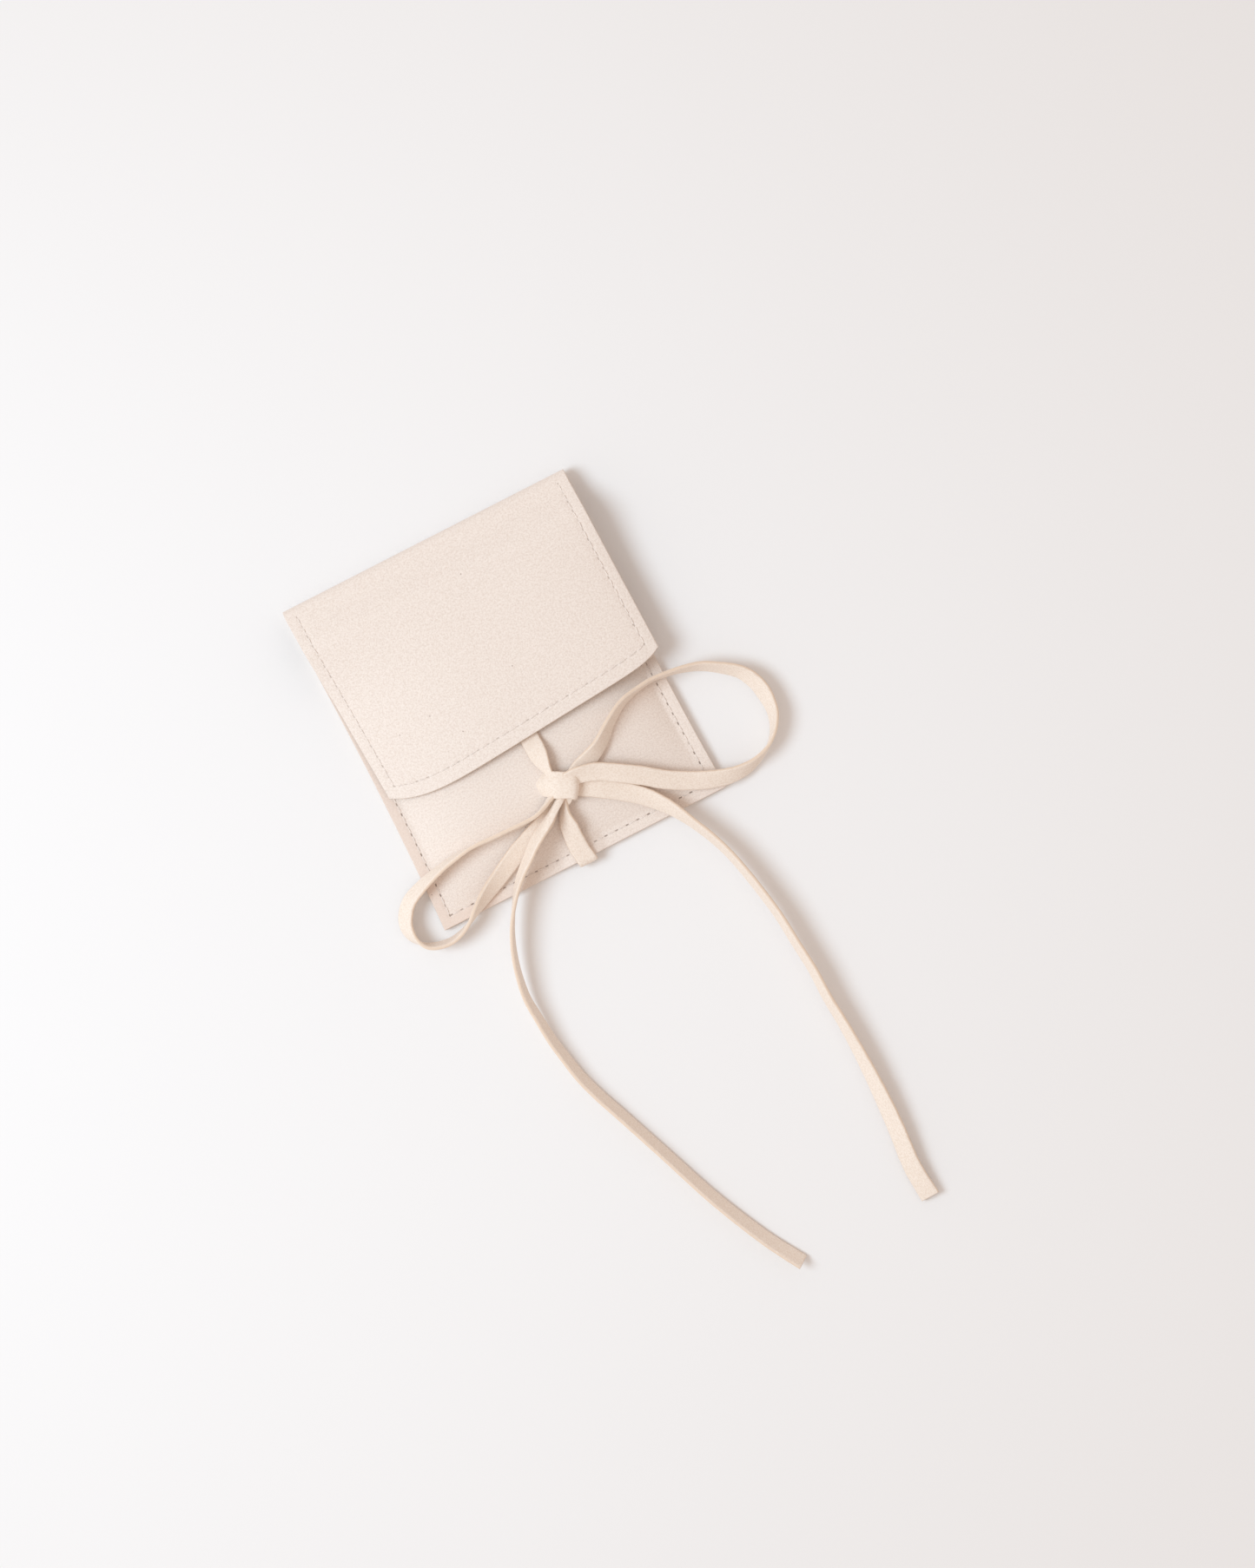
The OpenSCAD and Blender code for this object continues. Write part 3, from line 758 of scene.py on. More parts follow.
def material(name, make, colours):
    """The named material, made once."""
    return bpy.data.materials.get(name) or make(colours)


def spline(route, step):
    """Points about a step apart on a smooth line through a route, each with its tilt in radians."""
    p = np.array(route, float) * (MM, MM, MM, math.pi / 180)
    before, after = np.vstack([p[:1], p[:-1]]), np.vstack([p[1:], p[-1:]])
    beyond = np.vstack([p[2:], p[-1:], p[-1:]])
    line = []
    for p0, p1, p2, p3 in zip(before[:-1], p[:-1], after[:-1], beyond[:-1]):
        count = max(2, round(np.linalg.norm((p2 - p1)[:3]) / step))
        f = (np.arange(count) / count)[:, None]
        curve = (2 * p0 - 5 * p1 + 4 * p2 - p3) + f * (3 * p1 - 3 * p2 + p3 - p0)
        line.append(p1 + f / 2 * ((p2 - p0) + f * curve))
    line.append(p[-1:])
    return np.vstack(line)


def run_along(line):
    """Distance along a line at each of its points."""
    return np.concatenate([[0.0], np.cumsum(np.linalg.norm(np.diff(line[:, :3], axis=0), axis=-1))])


def line_frame(line, strand):
    """Width and thickness directions of a ribbon along a line. A strand has its width along X."""
    way = unit(np.gradient(line[:, :3], axis=0))
    if strand:
        side = np.array([1.0, 0.0, 0.0]) - way[:, :1] * way
    else:
        side = np.cross(way, UP)
    side = unit(side)
    up = np.cross(side, way)
    tilt = line[:, 3:4]
    width = np.cos(tilt) * side + np.sin(tilt) * up
    return width, np.cross(width, way)


def ribbon_section(width, thickness, columns):
    """Flat section with rounded edges: place across, height, and how far each point is on a cut edge."""
    round_r = 0.45 * thickness
    flat = np.linspace(1.0, -1.0, columns) * (width / 2 - round_r)
    left = [
        (-width / 2 + round_r + round_r * math.cos(a), thickness / 2 * math.sin(a), abs(math.cos(a)))
        for a in np.radians(np.linspace(112, 248, 5))
    ]
    half = [(a, thickness / 2, 0.0) for a in flat] + left
    return np.array(half + [(-a, -b, c) for a, b, c in half])


Fold = namedtuple("Fold", "end left right crease soft width near far")
Fold.__doc__ = """How a ribbon is folded lengthwise at its start (0) or its end (1).

left and right are the lift of its two parts in degrees, crease is the place of the crease across it and soft
how soft that is, width is the share of the width that is left, and the fold opens out from near to far along
the ribbon. All lengths are in millimetres.
"""


def fold_shares(end_folds, run):
    """Each fold with how far every ring of the ribbon is folded by it, from 0 to 1."""
    away = [abs(fold.end * run[-1] - run) / MM for fold in end_folds]
    return [(f, 1 - ramp((a - f.near) / (f.far - f.near))) for f, a in zip(end_folds, away)]


def folded(place, fold, share):
    """Where a fold takes each place across a ribbon: sideways, up, and the slope there.

    share is how far each ring is folded, from 0 to 1.
    """
    left, right = np.radians(fold.left) * share, np.radians(fold.right) * share
    from_crease = place - fold.crease * MM
    soft = fold.soft * MM
    reach = np.sqrt(from_crease**2 + soft**2)
    to_right, to_left = (reach + from_crease) / 2, (reach - from_crease) / 2
    sideways = to_right * (np.cos(right) - 1) - to_left * (np.cos(left) - 1)
    up = (to_right - soft / 2) * np.sin(right) + (to_left - soft / 2) * np.sin(left)
    right_rate, left_rate = (1 + from_crease / reach) / 2, (from_crease / reach - 1) / 2
    run = 1 + right_rate * (np.cos(right) - 1) - left_rate * (np.cos(left) - 1)
    rise = right_rate * np.sin(right) + left_rate * np.sin(left)
    return sideways, up, np.arctan2(rise, run)


def ribbon_mesh(name, line, directions, section, folds, taper, fray):
    """A ribbon swept along a line, with its width and thickness directions at every ring.

    folds pairs each fold with its share at every ring, and taper is the width of every ring as a share.
    """
    width, thick = directions
    rings, sides = len(line), len(section)
    run = run_along(line)
    place = section[None, :, 0] * taper[:, None]
    for fold, share in folds:
        gather = (1 - fold.width) * share[:, None]
        place = place + (fold.crease * MM - place) * gather
    waver = fray * (np.sin(run / (0.9 * MM)) + np.sin(run / (0.37 * MM) + 1.3)) / 2
    sideways = place + np.sign(section[:, 0]) * section[:, 2] * waver[:, None]
    up, slope = np.zeros_like(place), np.zeros_like(place)
    for fold, share in folds:
        more_sideways, more_up, more_slope = folded(place, fold, share[:, None])
        sideways, up, slope = sideways + more_sideways, up + more_up, slope + more_slope
    sideways = sideways - section[:, 1] * np.sin(slope)
    up = up + section[:, 1] * np.cos(slope)
    points = line[:, None, :3] + sideways[..., None] * width[:, None, :] + up[..., None] * thick[:, None, :]
    at = np.arange(rings * sides).reshape(rings, sides)
    ahead = np.roll(at, -1, axis=1)
    faces = np.stack([at[:-1], ahead[:-1], ahead[1:], at[1:]], axis=-1).reshape(-1, 4)
    around = np.cumsum(np.linalg.norm(np.diff(section[:, :2], axis=0, prepend=section[-1:, :2]), axis=-1))
    cloth = np.stack(np.broadcast_arrays(place, run[:, None], around[None, :]), axis=-1) / MM
    cut = np.broadcast_to(section[:, 2], (rings, sides)).copy()
    cut[[0, -1]] = np.maximum(cut[[0, -1]], 0.6)
    attributes = {"cloth": cloth.reshape(-1, 3), "cut": cut.ravel()}
    piece = new_piece(name, points.reshape(-1, 3), faces, attributes)
    close_ends(piece)
    return piece


def close_ends(piece):
    """Fills the two open ends of a swept piece with triangles."""
    shape = bmesh.new()
    shape.from_mesh(piece.data)
    rim = [e for e in shape.edges if e.is_boundary]
    bmesh.ops.holes_fill(shape, edges=rim, sides=0)
    caps = [f for f in shape.faces if len(f.verts) > 4]
    bmesh.ops.triangulate(shape, faces=caps)
    bmesh.ops.recalc_face_normals(shape, faces=shape.faces)
    shape.to_mesh(piece.data)
    shape.free()
    piece.data.shade_smooth()


class POUCH_OT_studio(bpy.types.Operator):
    """Make the floor, the soft light and the camera over the pouch"""

    bl_idname = "pouch.studio"
    bl_label = "Studio"

    def execute(self, context):
        scene = context.scene
        studio = scene.pouch_studio
        centre = Vector(studio.view_centre)
        self.make_floor(scene, studio)
        self.make_camera(scene, studio, centre)
        self.make_key(scene, studio, centre)
        self.make_fill(scene, studio)
        scene.view_settings.view_transform = "Standard"
        return {"FINISHED"}

    @staticmethod
    def make_floor(scene, studio):
        half = studio.floor_w / 2
        corners = [(-half, -half, 0), (half, -half, 0), (half, half, 0), (-half, half, 0)]
        mesh = bpy.data.meshes.new("studio_floor")
        mesh.from_pydata(corners, [], [(0, 1, 2, 3)])
        mesh.materials.append(floor_finish(scene.pouch_colours))
        floor = bpy.data.objects.new("studio_floor", mesh)
        floor.location.z = -studio.floor_gap
        scene.collection.objects.link(floor)

    @staticmethod
    def make_camera(scene, studio, centre):
        data = bpy.data.cameras.new("camera")
        data.sensor_width = SENSOR_MM
        data.lens = SENSOR_MM * studio.camera_h / studio.view_h
        camera = bpy.data.objects.new("camera", data)
        camera.location = centre + Vector((0, 0, studio.camera_h))
        camera.rotation_euler = (0, 0, studio.view_turn)
        scene.collection.objects.link(camera)
        scene.camera = camera

    @staticmethod
    def make_key(scene, studio, centre):
        data = bpy.data.lights.new("key_light", "AREA")
        data.shape = "DISK"
        data.size = studio.key_size
        data.energy = studio.key_power
        data.spread = studio.key_spread
        data.color = studio.key_tint
        turn = Matrix.Rotation(studio.view_turn, 4, "Z")
        place = centre + turn @ Vector((-studio.key_away, -studio.key_low, studio.key_h))
        light = bpy.data.objects.new("key_light", data)
        light.location = place
        light.rotation_euler = (centre - place).to_track_quat("-Z", "Y").to_euler()
        scene.collection.objects.link(light)

    @staticmethod
    def make_fill(scene, studio):
        world = bpy.data.worlds.new("soft_surround")
        world.use_nodes = True
        inputs = world.node_tree.nodes["Background"].inputs
        inputs["Color"].default_value = (*studio.fill_tint, 1.0)
        inputs["Strength"].default_value = studio.fill
        scene.world = world


class POUCH_OT_ribbon(bpy.types.Operator):
    """Make the strands, loops and tails of the ribbon"""

    bl_idname = "pouch.ribbon"
    bl_label = "Ribbon"

    # Node, route, across the pouch, folds, what is at the far end, and how the stretch lies
    stretches = (
        (
            "upper_strand", UPPER_ROUTE, True,
            (Fold(1, 0, -22, -2.3, 0.3, 1, 2, 12), Fold(1, 0, 22, -2.3, 0.3, 1, 1, 8.5),
             Fold(1, 30, -12, 0.6, 0.5, 0.45, 0.5, 7.5)), "knot", "taut",
        ),
        (
            "lower_strand", LOWER_ROUTE, True,
            (Fold(1, 0, 24, -2.3, 0.3, 1, 4, 19), Fold(1, -30, 20, 0.2, 0.6, 0.4, 2, 9)), "knot", "taut",
        ),
        (
            "left_loop", LEFT_LOOP_ROUTE, False,
            (Fold(0, 14, -14, 0, 0.5, 0.9, 22, 34), Fold(0, 0, 0, 0.3, 0.5, 0.45, 2, 9),
             Fold(1, 40, 40, 0, 0.8, 0.6, 0, 8)), "knot", "loose",
        ),
        (
            "right_loop", RIGHT_LOOP_ROUTE, False,
            (Fold(0, 22, 0, 1, 0.8, 1, 0, 9), Fold(1, 12, 12, 0, 0.8, 0.7, 0, 6)), "knot", "loose",
        ),
        ("left_tail", LEFT_TAIL_ROUTE, False, (Fold(0, -55, -35, -0.6, 0.4, 0.6, 1, 14),), "bare", "loose"),
        ("right_tail", RIGHT_TAIL_ROUTE, False, (Fold(1, -16, 16, 0, 0.5, 1, 20, 50),), "bare", "loose"),
    )

    def execute(self, context):
        ribbon = context.scene.pouch_ribbon
        finish = material("ribbon_suede", ribbon_finish, context.scene.pouch_colours)
        section = ribbon_section(ribbon.ribbon_w, ribbon.ribbon_t, RIBBON_COLUMNS)
        for node, route, strand, end_folds, far_end, lay in self.stretches:
            line = spline(route, ribbon.ring_step)
            run = run_along(line)
            folds = fold_shares(end_folds, run)
            full = np.ones(len(line))
            directions = line_frame(line, strand)
            piece = ribbon_mesh(node + "_ribbon", line, directions, section, folds, full, ribbon.edge_fray)
            piece.data.materials.append(finish)
            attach(piece, "pocket")
            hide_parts(node)
        return {"FINISHED"}


class POUCH_OT_knot(bpy.types.Operator):
    """Make the knot of the bow: a band over it and the crossed turn under it"""

    bl_idname = "pouch.knot"
    bl_label = "Knot"

    # The band's line over the knot and the line of the turn under it, in millimetres to the right, up the
    # picture and above the middle of the knot, with the width there as a share
    band_line = (
        (-6.3, 0.3, -3, 0.9), (-5.3, 0.3, -2.3, 0.94), (-4.3, 0.2, -1.3, 0.98), (-3.3, 0.2, -0.2, 1),
        (-2.2, 0.1, 0.8, 1), (-0.9, 0, 1.4, 1), (0.7, 0, 1.6, 1), (2.5, 0, 1.65, 1), (3.7, -0.1, 1.25, 1),
        (4.2, -0.2, 0.1, 1), (3.8, -0.3, -1, 1), (2.4, -0.4, -1.5, 1),
    )
    turn_line = (
        (0.2, 2.0, -0.8, 1), (0.4, 1.0, -0.2, 1), (0.7, -0.4, 0.1, 1),
        (1.4, -2.2, 0, 0.9), (1.6, -3.3, -0.5, 0.62), (1.4, -4.4, -1.1, 0.38), (1.2, -5.4, -1.7, 0.12),
    )
    # The knot is crowned all along, and the band slumps where it starts
    crown = Fold(0, -14, -14, 0, 1.2, 1, 90, 91)
    slump = Fold(0, -20, -20, 0, 1.6, 1, 1.5, 6)

    def execute(self, context):
        ribbon = context.scene.pouch_ribbon
        low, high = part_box("bow_knot")
        middle = np.array((low + high) / 2)
        finish = material("ribbon_suede", ribbon_finish, context.scene.pouch_colours)
        turn = np.array(Matrix.Rotation(context.scene.pouch_studio.view_turn, 3, "Z"))
        wraps = (
            ("knot_band", self.band_line, (0, 1, 0), ribbon.knot_w, (self.crown, self.slump)),
            ("knot_turn", self.turn_line, (-1, 0, 0), ribbon.ribbon_w, (self.crown,)),
        )
        band, under = (self.wrap(*wrap, ribbon, turn, middle) for wrap in wraps)
        for piece in (band, under):
            piece.data.materials.append(finish)
            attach(piece, "pocket")
        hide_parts("bow_knot")
        return {"FINISHED"}

    @staticmethod
    def wrap(name, route, across, width, end_folds, ribbon, turn, middle):
        """A stretch of ribbon wrapped along a line, crowned across its width."""
        line = spline(route, ribbon.knot_step)
        # The spline took the fourth number for degrees, and here it is the width as a share
        taper = line[:, 3] / math.radians(1)
        way = unit(np.gradient(line[:, :3], axis=0))
        side = np.array(across, float)
        side = unit(side - (way @ side)[:, None] * way)
        # The outer face is the one that looks up a third of the way along
        thick = np.cross(side, way)
        thick = thick * np.sign(thick[len(line) // 3, 2])
        section = ribbon_section(width, ribbon.ribbon_t, KNOT_COLUMNS)
        placed = np.column_stack([line[:, :3] @ turn.T + middle, 0 * taper])
        directions = (side @ turn.T, thick @ turn.T)
        folds = fold_shares(end_folds, run_along(line))
        return ribbon_mesh(name, placed, directions, section, folds, taper, ribbon.edge_fray)


class POUCH_OT_front(bpy.types.Operator):
    """Make the swelling front panel of the pocket"""

    bl_idname = "pouch.front"
    bl_label = "Front panel"

    # How far inside a stitch line the painted shade on the margins starts, in millimetres
    shade_in = 0.8
    # Where along the bottom the painted shade starts, over what length it fades in, and how strong it is
    shade_from = -12 * MM
    shade_fade = 20 * MM
    shade_most = 0.75

    def execute(self, context):
        sizes = context.scene.pouch_sizes
        form = PouchForm(sizes, context.scene.pouch_ribbon)
        u = crowded(FRONT_COLUMNS)[None, :]
        down = (crowded(FRONT_ROWS)[:, None] + 1) / 2
        y = form.y_mouth - sizes.rim + (form.y_bottom + 2 * sizes.rim - form.y_mouth) * down
        x = u * (form.half_w(y) - sizes.rim)
        y = y + 0 * x
        off, run = front_seams(form, x, y)
        top = form.front_top(x, y)
        outer = np.stack([x, y, top - seam_dip(sizes, off, run)], axis=-1)
        inner = np.stack([x, y, top - sizes.suede_t], axis=-1)
        cloth = np.stack([x, y, 0 * x], axis=-1) / MM
        # Painted shade: darker margins outside the stitch lines at the left and at the bottom left
        pressed = self.painted_margin_shade(x, off)
        holes = np.full(x.shape, FRONT_HOLES)
        piece = closed_sheet("front_panel_suede", outer, inner, sizes.rim, {
            "cloth": (cloth, cloth + FRONT_INSIDE),
            "seam_off": (off, off),
            "seam_run": (run, run),
            "pressed": (pressed, pressed),
            "hole_depth": (holes, holes),
        })
        piece.data.materials.append(material("brushed_suede", suede_finish, context.scene.pouch_colours))
        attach(piece, "pocket")
        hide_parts("front_panel")
        return {"FINISHED"}

    def painted_margin_shade(self, x, off):
        """How flat the nap is pressed, outside the stitch lines at the left and at the bottom left."""
        outside = ramp((self.shade_in - off[..., :2]) / (2 * self.shade_in))
        left = outside[..., 0] * (x < 0)
        bottom = outside[..., 1] * ramp((self.shade_from - x) / self.shade_fade)
        return self.shade_most * np.maximum(left, bottom)


def wrapped_sheet(name, form, low, high):
    """A sheet that runs from the bottom of the back, round the fold and down the flap.

    low and high are the depths of its outer and inner face below the outside of the pouch.
    """
    s = form.sizes
    u = crowded(SHEET_COLUMNS)[None, :] * (1 - s.rim / (s.pouch_w / 2))
    y_back = np.linspace(form.y_bottom + s.rim, form.y_arc, BACK_ROWS)[:, None]
    angle = np.radians(np.linspace(-90, 90, FOLD_ROWS + 2)[1:-1])[:, None]
    q = crowded(2 * FLAP_ROWS - 1)[FLAP_ROWS - 1:, None] * (1 - s.rim / s.flap_l)
    u_flap, q_flap = np.broadcast_arrays(u, q)
    back_off, back_run = back_seams(form, u * form.half_w(y_back), y_back + 0 * u)
    flap_off, flap_run = flap_seams(form, u_flap, q_flap)
    fold_off = np.repeat(flap_off[:1], FOLD_ROWS, axis=0)
    # A run of a half is between two needle holes, so the fold has none
    fold_run = np.full_like(fold_off, 0.5)
    off = np.concatenate([back_off, fold_off, flap_off])
    run = np.concatenate([back_run, fold_run, flap_run])
    dip = seam_dip(s, off, run)
    dip[BACK_ROWS:-FLAP_ROWS] = 0
    faces = []
    for depth, draw in ((low, dip), (high, 0 * dip)):
        back = form.back_point(u, y_back, depth)
        back[..., 2] += draw[:BACK_ROWS] * s.back_dip / s.seam_dip
        fold = form.fold_point(u, angle, depth)
        flap = form.flap_point(u_flap, q_flap, depth)
        flap[..., 2] -= draw[-FLAP_ROWS:]
        faces.append(np.concatenate([back, fold, flap]))
    flat_y = np.concatenate([
        y_back[:, 0],
        form.y_arc + form.fold_r * (angle[:, 0] + math.pi / 2),
        form.y_arc + form.fold_r * math.pi + q[:, 0] * (s.flap_l - form.fold_r),
    ])[:, None]
    flat = np.stack([u * s.pouch_w / 2 + 0 * flat_y, flat_y + 0 * u, 0 * u * flat_y], axis=-1) / MM
    holes = np.full(off.shape[:2], FLAP_HOLES)
    holes[:BACK_ROWS] = BACK_HOLES
    return closed_sheet(name, *faces, s.rim, {
        "cloth": (flat + SHEET_OUTSIDE, flat + SHEET_INSIDE),
        "seam_off": (off, off),
        "seam_run": (run, run),
        # No painted margin shade on the back and the flap
        "pressed": (0 * holes, 0 * holes),
        "hole_depth": (holes, holes),
    })


class POUCH_OT_sheets(bpy.types.Operator):
    """Make the outer sheet and its lining, each in one piece from the back over the fold to the flap"""

    bl_idname = "pouch.sheets"
    bl_label = "Outer sheet and lining"

    # Half the height of a bend from one body to the other, and how far that bend leans
    bend_h = 0.42 * MM
    bend_lean = -0.0095

    def execute(self, context):
        sizes = context.scene.pouch_sizes
        colours = context.scene.pouch_colours
        form = PouchForm(sizes, context.scene.pouch_ribbon)
        layers = (
            ("outer_sheet_suede", "brushed_suede", suede_finish, "suede", 0.0, sizes.suede_t,
             ("back_panel", "flap_panel")),
            ("lining_sheet_cloth", "lining_cloth", lining_finish, "lining", form.lining_depth,
             form.lining_depth + sizes.lining_t, ("back_lining", "flap_lining")),
        )
        for name, finish, make, slot, low, high, nodes in layers:
            piece = wrapped_sheet(name, form, low, high)
            piece.data.materials.append(material(finish, make, colours))
            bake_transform(piece)
            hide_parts(*nodes)
        return {"FINISHED"}


def stitch_tree():
    """Node tree that lays one twisted stitch on every point, along its row and flat on its sheet."""
    tree = bpy.data.node_groups.new("stitch_rows", "GeometryNodeTree")
    for name, kind in (
        ("Places", "NodeSocketGeometry"),
        ("Length", "NodeSocketFloat"),
        ("Thread", "NodeSocketFloat"),
        ("Turns", "NodeSocketFloat"),
        ("Seed", "NodeSocketInt"),
        ("Material", "NodeSocketMaterial"),
    ):
        tree.interface.new_socket(name=name, in_out="INPUT", socket_type=kind)
    tree.interface.new_socket(name="Stitches", in_out="OUTPUT", socket_type="NodeSocketGeometry")

    def node(kind, settings=None, inputs=None):
        made = tree.nodes.new(kind)
        for key, value in (settings or {}).items():
            setattr(made, key, value)
        for key, value in (inputs or {}).items():
            socket = Finish.socket(made.inputs, key)
            if isinstance(value, bpy.types.NodeSocket):
                tree.links.new(value, socket)
            else:
                socket.default_value = value
        return made.outputs

    given = node("NodeGroupInput")

    def scaled(value, factor):
        return node("ShaderNodeMath", {"operation": "MULTIPLY"}, {"Value": value, "Value_001": factor})[0]

    def point(x, z):
        return node("ShaderNodeCombineXYZ", None, {"X": x, "Z": z})[0]

    half = scaled(given["Length"], 0.5)
    dive = scaled(given["Thread"], -0.9)
    arch = scaled(given["Thread"], 0.8)
    line = node("GeometryNodeCurvePrimitiveBezierSegment", {"mode": "POSITION"}, {
        "Resolution": 12,
        "Start": point(scaled(half, -1.0), dive),
        "Start Handle": point(scaled(half, -0.8), arch),
        "End Handle": point(scaled(half, 0.8), arch),
        "End": point(half, dive),
    })[0]
    along = node("GeometryNodeSplineParameter")["Factor"]
    twist = node("ShaderNodeMath", {"operation": "MULTIPLY"}, {
        "Value": along, "Value_001": scaled(given["Turns"], 2 * math.pi),
    })[0]
    line = node("GeometryNodeSetCurveTilt", None, {"Curve": line, "Tilt": twist})[0]
    strands = node("GeometryNodeCurveStar", None, {
        "Points": 3,
        "Inner Radius": scaled(given["Thread"], 0.36),
        "Outer Radius": scaled(given["Thread"], 0.56),
    })["Curve"]
    stitch = node("GeometryNodeCurveToMesh", None, {
        "Curve": line, "Profile Curve": strands, "Fill Caps": True,
    })[0]
    way = node("GeometryNodeInputNamedAttribute", {"data_type": "FLOAT_VECTOR"}, {"Name": "way"})[0]
    lie = node("GeometryNodeInputNamedAttribute", {"data_type": "FLOAT_VECTOR"}, {"Name": "lie"})[0]
    turn = node("FunctionNodeAlignRotationToVector", {"axis": "X"}, {"Vector": way})[0]
    turn = node("FunctionNodeAlignRotationToVector", {"axis": "Z", "pivot_axis": "X"}, {
        "Rotation": turn, "Vector": lie,
    })[0]
    slant = node("FunctionNodeRandomValue", {"data_type": "FLOAT_VECTOR"}, {
        "Min": (-0.05, -0.02, -0.1), "Max": (0.05, 0.02, 0.1), "Seed": given["Seed"],
    })[0]
    turn = node("FunctionNodeRotateRotation", {"rotation_space": "LOCAL"}, {
        "Rotation": turn, "Rotate By": node("FunctionNodeEulerToRotation", None, {"Euler": slant})[0],
    })[0]
    placed = node("GeometryNodeInstanceOnPoints", None, {
        "Points": given["Places"], "Instance": stitch, "Rotation": turn,
    })[0]
    made = node("GeometryNodeRealizeInstances", None, {"Geometry": placed})[0]
    made = node("GeometryNodeSetShadeSmooth", None, {"Geometry": made})[0]
    made = node("GeometryNodeSetMaterial", None, {"Geometry": made, "Material": given["Material"]})[0]
    node("NodeGroupOutput", None, {"Stitches": made})
    return tree


def facing(row, up):
    """The same lie for every stitch of a row, up or down."""
    return np.tile(UP * up, (len(row), 1))


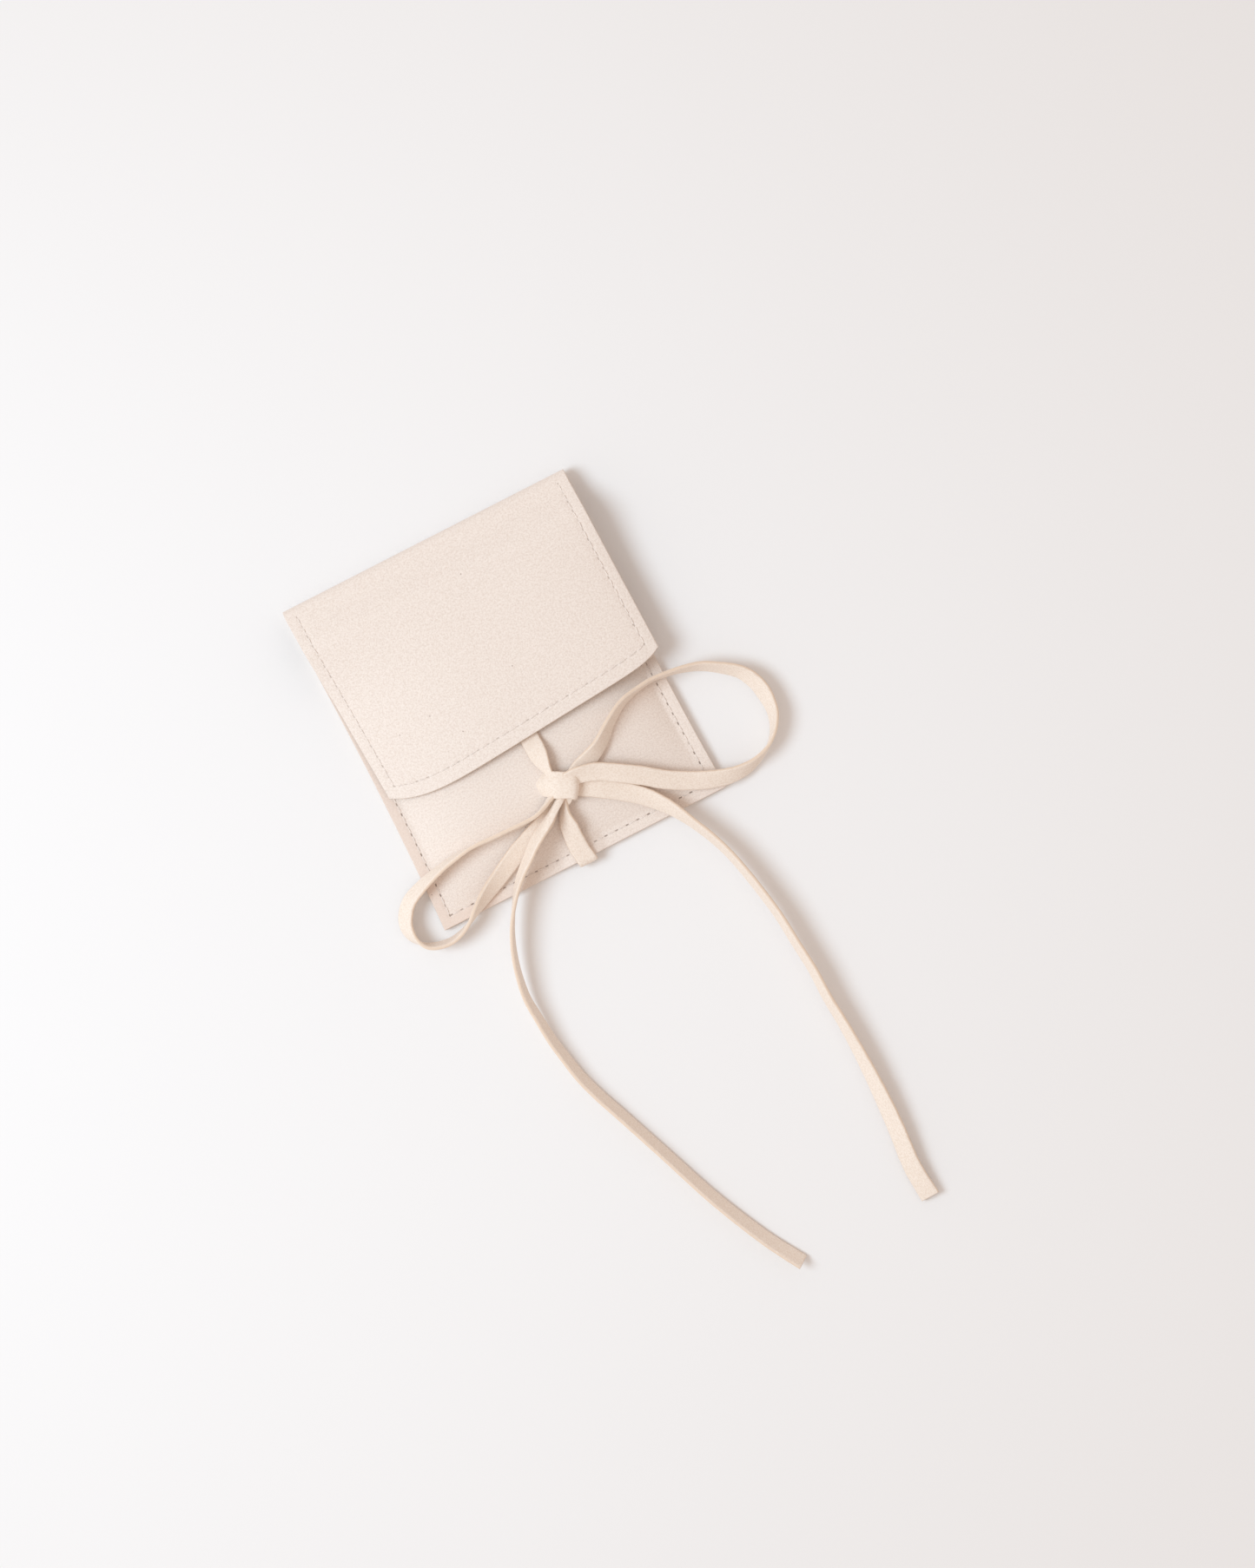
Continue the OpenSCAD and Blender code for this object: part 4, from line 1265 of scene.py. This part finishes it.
class POUCH_OT_thread(bpy.types.Operator):
    """Sew the pocket's seams, the flap's hem and the tack of the hidden ribbon end"""

    bl_idname = "pouch.thread"
    bl_label = "Stitches"

    # Turns of the thread in one stitch
    turns = 3.0

    def execute(self, context):
        form = PouchForm(context.scene.pouch_sizes, context.scene.pouch_ribbon)
        tree = stitch_tree()
        finish = material("sewing_thread", thread_finish, context.scene.pouch_colours)
        threads = (
            ("pocket_thread", "pocket_stitches", "pocket", self.pocket_rows(form)),
            ("flap_thread", "flap_stitches", "flap", self.flap_rows(form)),
            ("tack_thread", "strand_tack", "pocket", self.tack_rows(form)),
        )
        for name, node, body, rows in threads:
            self.sew(context, tree, finish, name, node, body, rows)
        return {"FINISHED"}

    @staticmethod
    def row(count, point, *given):
        """Middle, way along and lie of each stitch in a row. point gives places and lies at shares of it."""
        f = (np.arange(count) + 0.5) / count
        ahead, lie = point(f + 0.1 / count, *given)
        behind, _ = point(f - 0.1 / count, *given)
        return (ahead + behind) / 2, ahead - behind, lie

    def pocket_rows(self, form):
        """Rows up both sides and along the bottom: on the front, on the lining above it and on the back."""
        s = form.sizes
        reach, tab = bottom_row(form)

        def upright(f, side, start, end, z, up):
            y = start + (end - start) * f
            x = side * (form.half_w(y) - s.seam_inset)
            return np.stack([x, y, z + 0 * y], axis=-1), facing(f, up)

        def bottom_front(f, side):
            x = form.tab_x + side * (reach - (reach - tab) * f)
            y = np.full_like(x, form.y_low)
            z = form.front_top(x, y) - s.seam_dip
            return np.stack([x, y, z], axis=-1), facing(f, 1)

        def bottom_back(f):
            x = reach * (2 * f - 1)
            return np.stack([x, 0 * f + form.y_low, 0 * f + s.back_dip], axis=-1), facing(f, -1)

        uprights = (
            (form.y_low, form.y_mouth, form.margin_top - s.seam_dip, 1),
            (form.y_mouth, form.y_arc, form.lining_z + s.lining_t, 1),
            (form.y_low, form.y_arc, s.back_dip, -1),
        )
        rows = []
        for side in (-1, 1):
            for start, end, z, up in uprights:
                rows.append(self.row(form.stitches_in(end - start), upright, side, start, end, z, up))
            rows.append(self.row(form.stitches_in(reach - tab), bottom_front, side))
        rows.append(self.row(form.stitches_in(2 * reach), bottom_back))
        return rows

    def flap_rows(self, form):
        """Rows down both sides of the flap and along its free edge, on the suede and on the lining."""
        s = form.sizes
        step = 1e-3

        def laid(u, q, depth, up):
            over = form.flap_point(u + step, q, depth) - form.flap_point(u - step, q, depth)
            down = form.flap_point(u, q - step, depth) - form.flap_point(u, q + step, depth)
            return form.flap_point(u, q, depth), unit(np.cross(over, down)) * up

        def edge(f, side, depth, up):
            return laid(side * form.u_side + 0 * f, form.q_low * f, depth, up)

        def hem(f, depth, up):
            return laid(form.u_side * (2 * f - 1), form.q_low + 0 * f, depth, up)

        rows = []
        for depth, up in ((s.seam_dip, 1), (form.lining_depth + s.lining_t, -1)):
            for side in (-1, 1):
                rows.append(self.row(form.edge_stitches, edge, side, depth, up))
            rows.append(self.row(form.hem_stitches, hem, depth, up))
        return rows

    @staticmethod
    def tack_rows(form):
        """Two rows of two stitches across the hidden end of the upper strand, at the frame's tack."""
        low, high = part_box("strand_tack")
        x = low.x + (high.x - low.x) * np.array([0.25, 0.75])
        z = np.full_like(x, low.z - form.sizes.thread_gap)
        along = np.tile((1.0, 0.0, 0.0), (len(x), 1))
        return [
            (np.stack([x, np.full_like(x, y), z], axis=-1), along, facing(x, 1))
            for y in (low.y, high.y)
        ]

    def sew(self, context, tree, finish, name, node, body, rows):
        """Lays a stitch on every place of the rows and makes them one plain mesh."""
        sizes = context.scene.pouch_sizes
        places = np.concatenate([r[0] for r in rows])
        mesh = bpy.data.meshes.new(name)
        mesh.from_pydata(places.tolist(), [], [])
        for key, index in (("way", 1), ("lie", 2)):
            values = np.concatenate([r[index] for r in rows])
            layer = mesh.attributes.new(key, "FLOAT_VECTOR", "POINT")
            layer.data.foreach_set("vector", unit(values).astype(np.float32).ravel())
        piece = bpy.data.objects.new(name, mesh)
        context.scene.collection.objects.link(piece)
        modifier = piece.modifiers.new("stitches", "NODES")
        modifier.node_group = tree
        settings = {
            "Length": sizes.stitch_l,
            "Thread": sizes.thread_d,
            "Turns": self.turns,
            "Seed": context.scene.pouch_studio.seed,
            "Material": finish,
        }
        for item in tree.interface.items_tree:
            if item.in_out == "INPUT" and item.name in settings:
                modifier[item.identifier] = settings[item.name]
        graph = context.evaluated_depsgraph_get()
        made = bpy.data.meshes.new_from_object(piece.evaluated_get(graph), depsgraph=graph)
        if not made.polygons:
            raise RuntimeError(f"{name} has no stitches")
        piece.modifiers.clear()
        piece.data = made
        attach(piece, body)
        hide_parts(node)


class POUCH_PT_sidebar(bpy.types.Panel):
    """Lists the pieces of the pouch and their sizes"""

    bl_idname = "POUCH_PT_sidebar"
    bl_label = "Flap pouch"
    bl_space_type = "VIEW_3D"
    bl_region_type = "UI"
    bl_category = "Pouch"

    def draw(self, context):
        layout = self.layout
        for operator in OPERATORS:
            layout.operator(operator.bl_idname)
        for group in GROUPS:
            settings = getattr(context.scene, group)
            box = layout.box()
            for key in settings.__annotations__:
                box.prop(settings, key)


OPERATORS = (
    POUCH_OT_studio,
    POUCH_OT_ribbon,
    POUCH_OT_knot,
    POUCH_OT_front,
    POUCH_OT_sheets,
    POUCH_OT_thread,
)
GROUPS = {
    "pouch_sizes": PouchSizes,
    "pouch_ribbon": RibbonSizes,
    "pouch_colours": PouchColours,
    "pouch_studio": StudioSettings,
}


def register():
    for group in GROUPS.values():
        bpy.utils.register_class(group)
    for operator in OPERATORS:
        bpy.utils.register_class(operator)
    bpy.utils.register_class(POUCH_PT_sidebar)
    for name, group in GROUPS.items():
        setattr(bpy.types.Scene, name, PointerProperty(type=group))


def unregister():
    for name in GROUPS:
        delattr(bpy.types.Scene, name)
    bpy.utils.unregister_class(POUCH_PT_sidebar)
    for operator in reversed(OPERATORS):
        bpy.utils.unregister_class(operator)
    for group in GROUPS.values():
        bpy.utils.unregister_class(group)


def main():
    register()
    bpy.ops.pouch.studio()
    bpy.ops.pouch.ribbon()
    bpy.ops.pouch.knot()
    bpy.ops.pouch.front()
    bpy.ops.pouch.sheets()
    bpy.ops.pouch.thread()


if __name__ == "__main__":
    main()
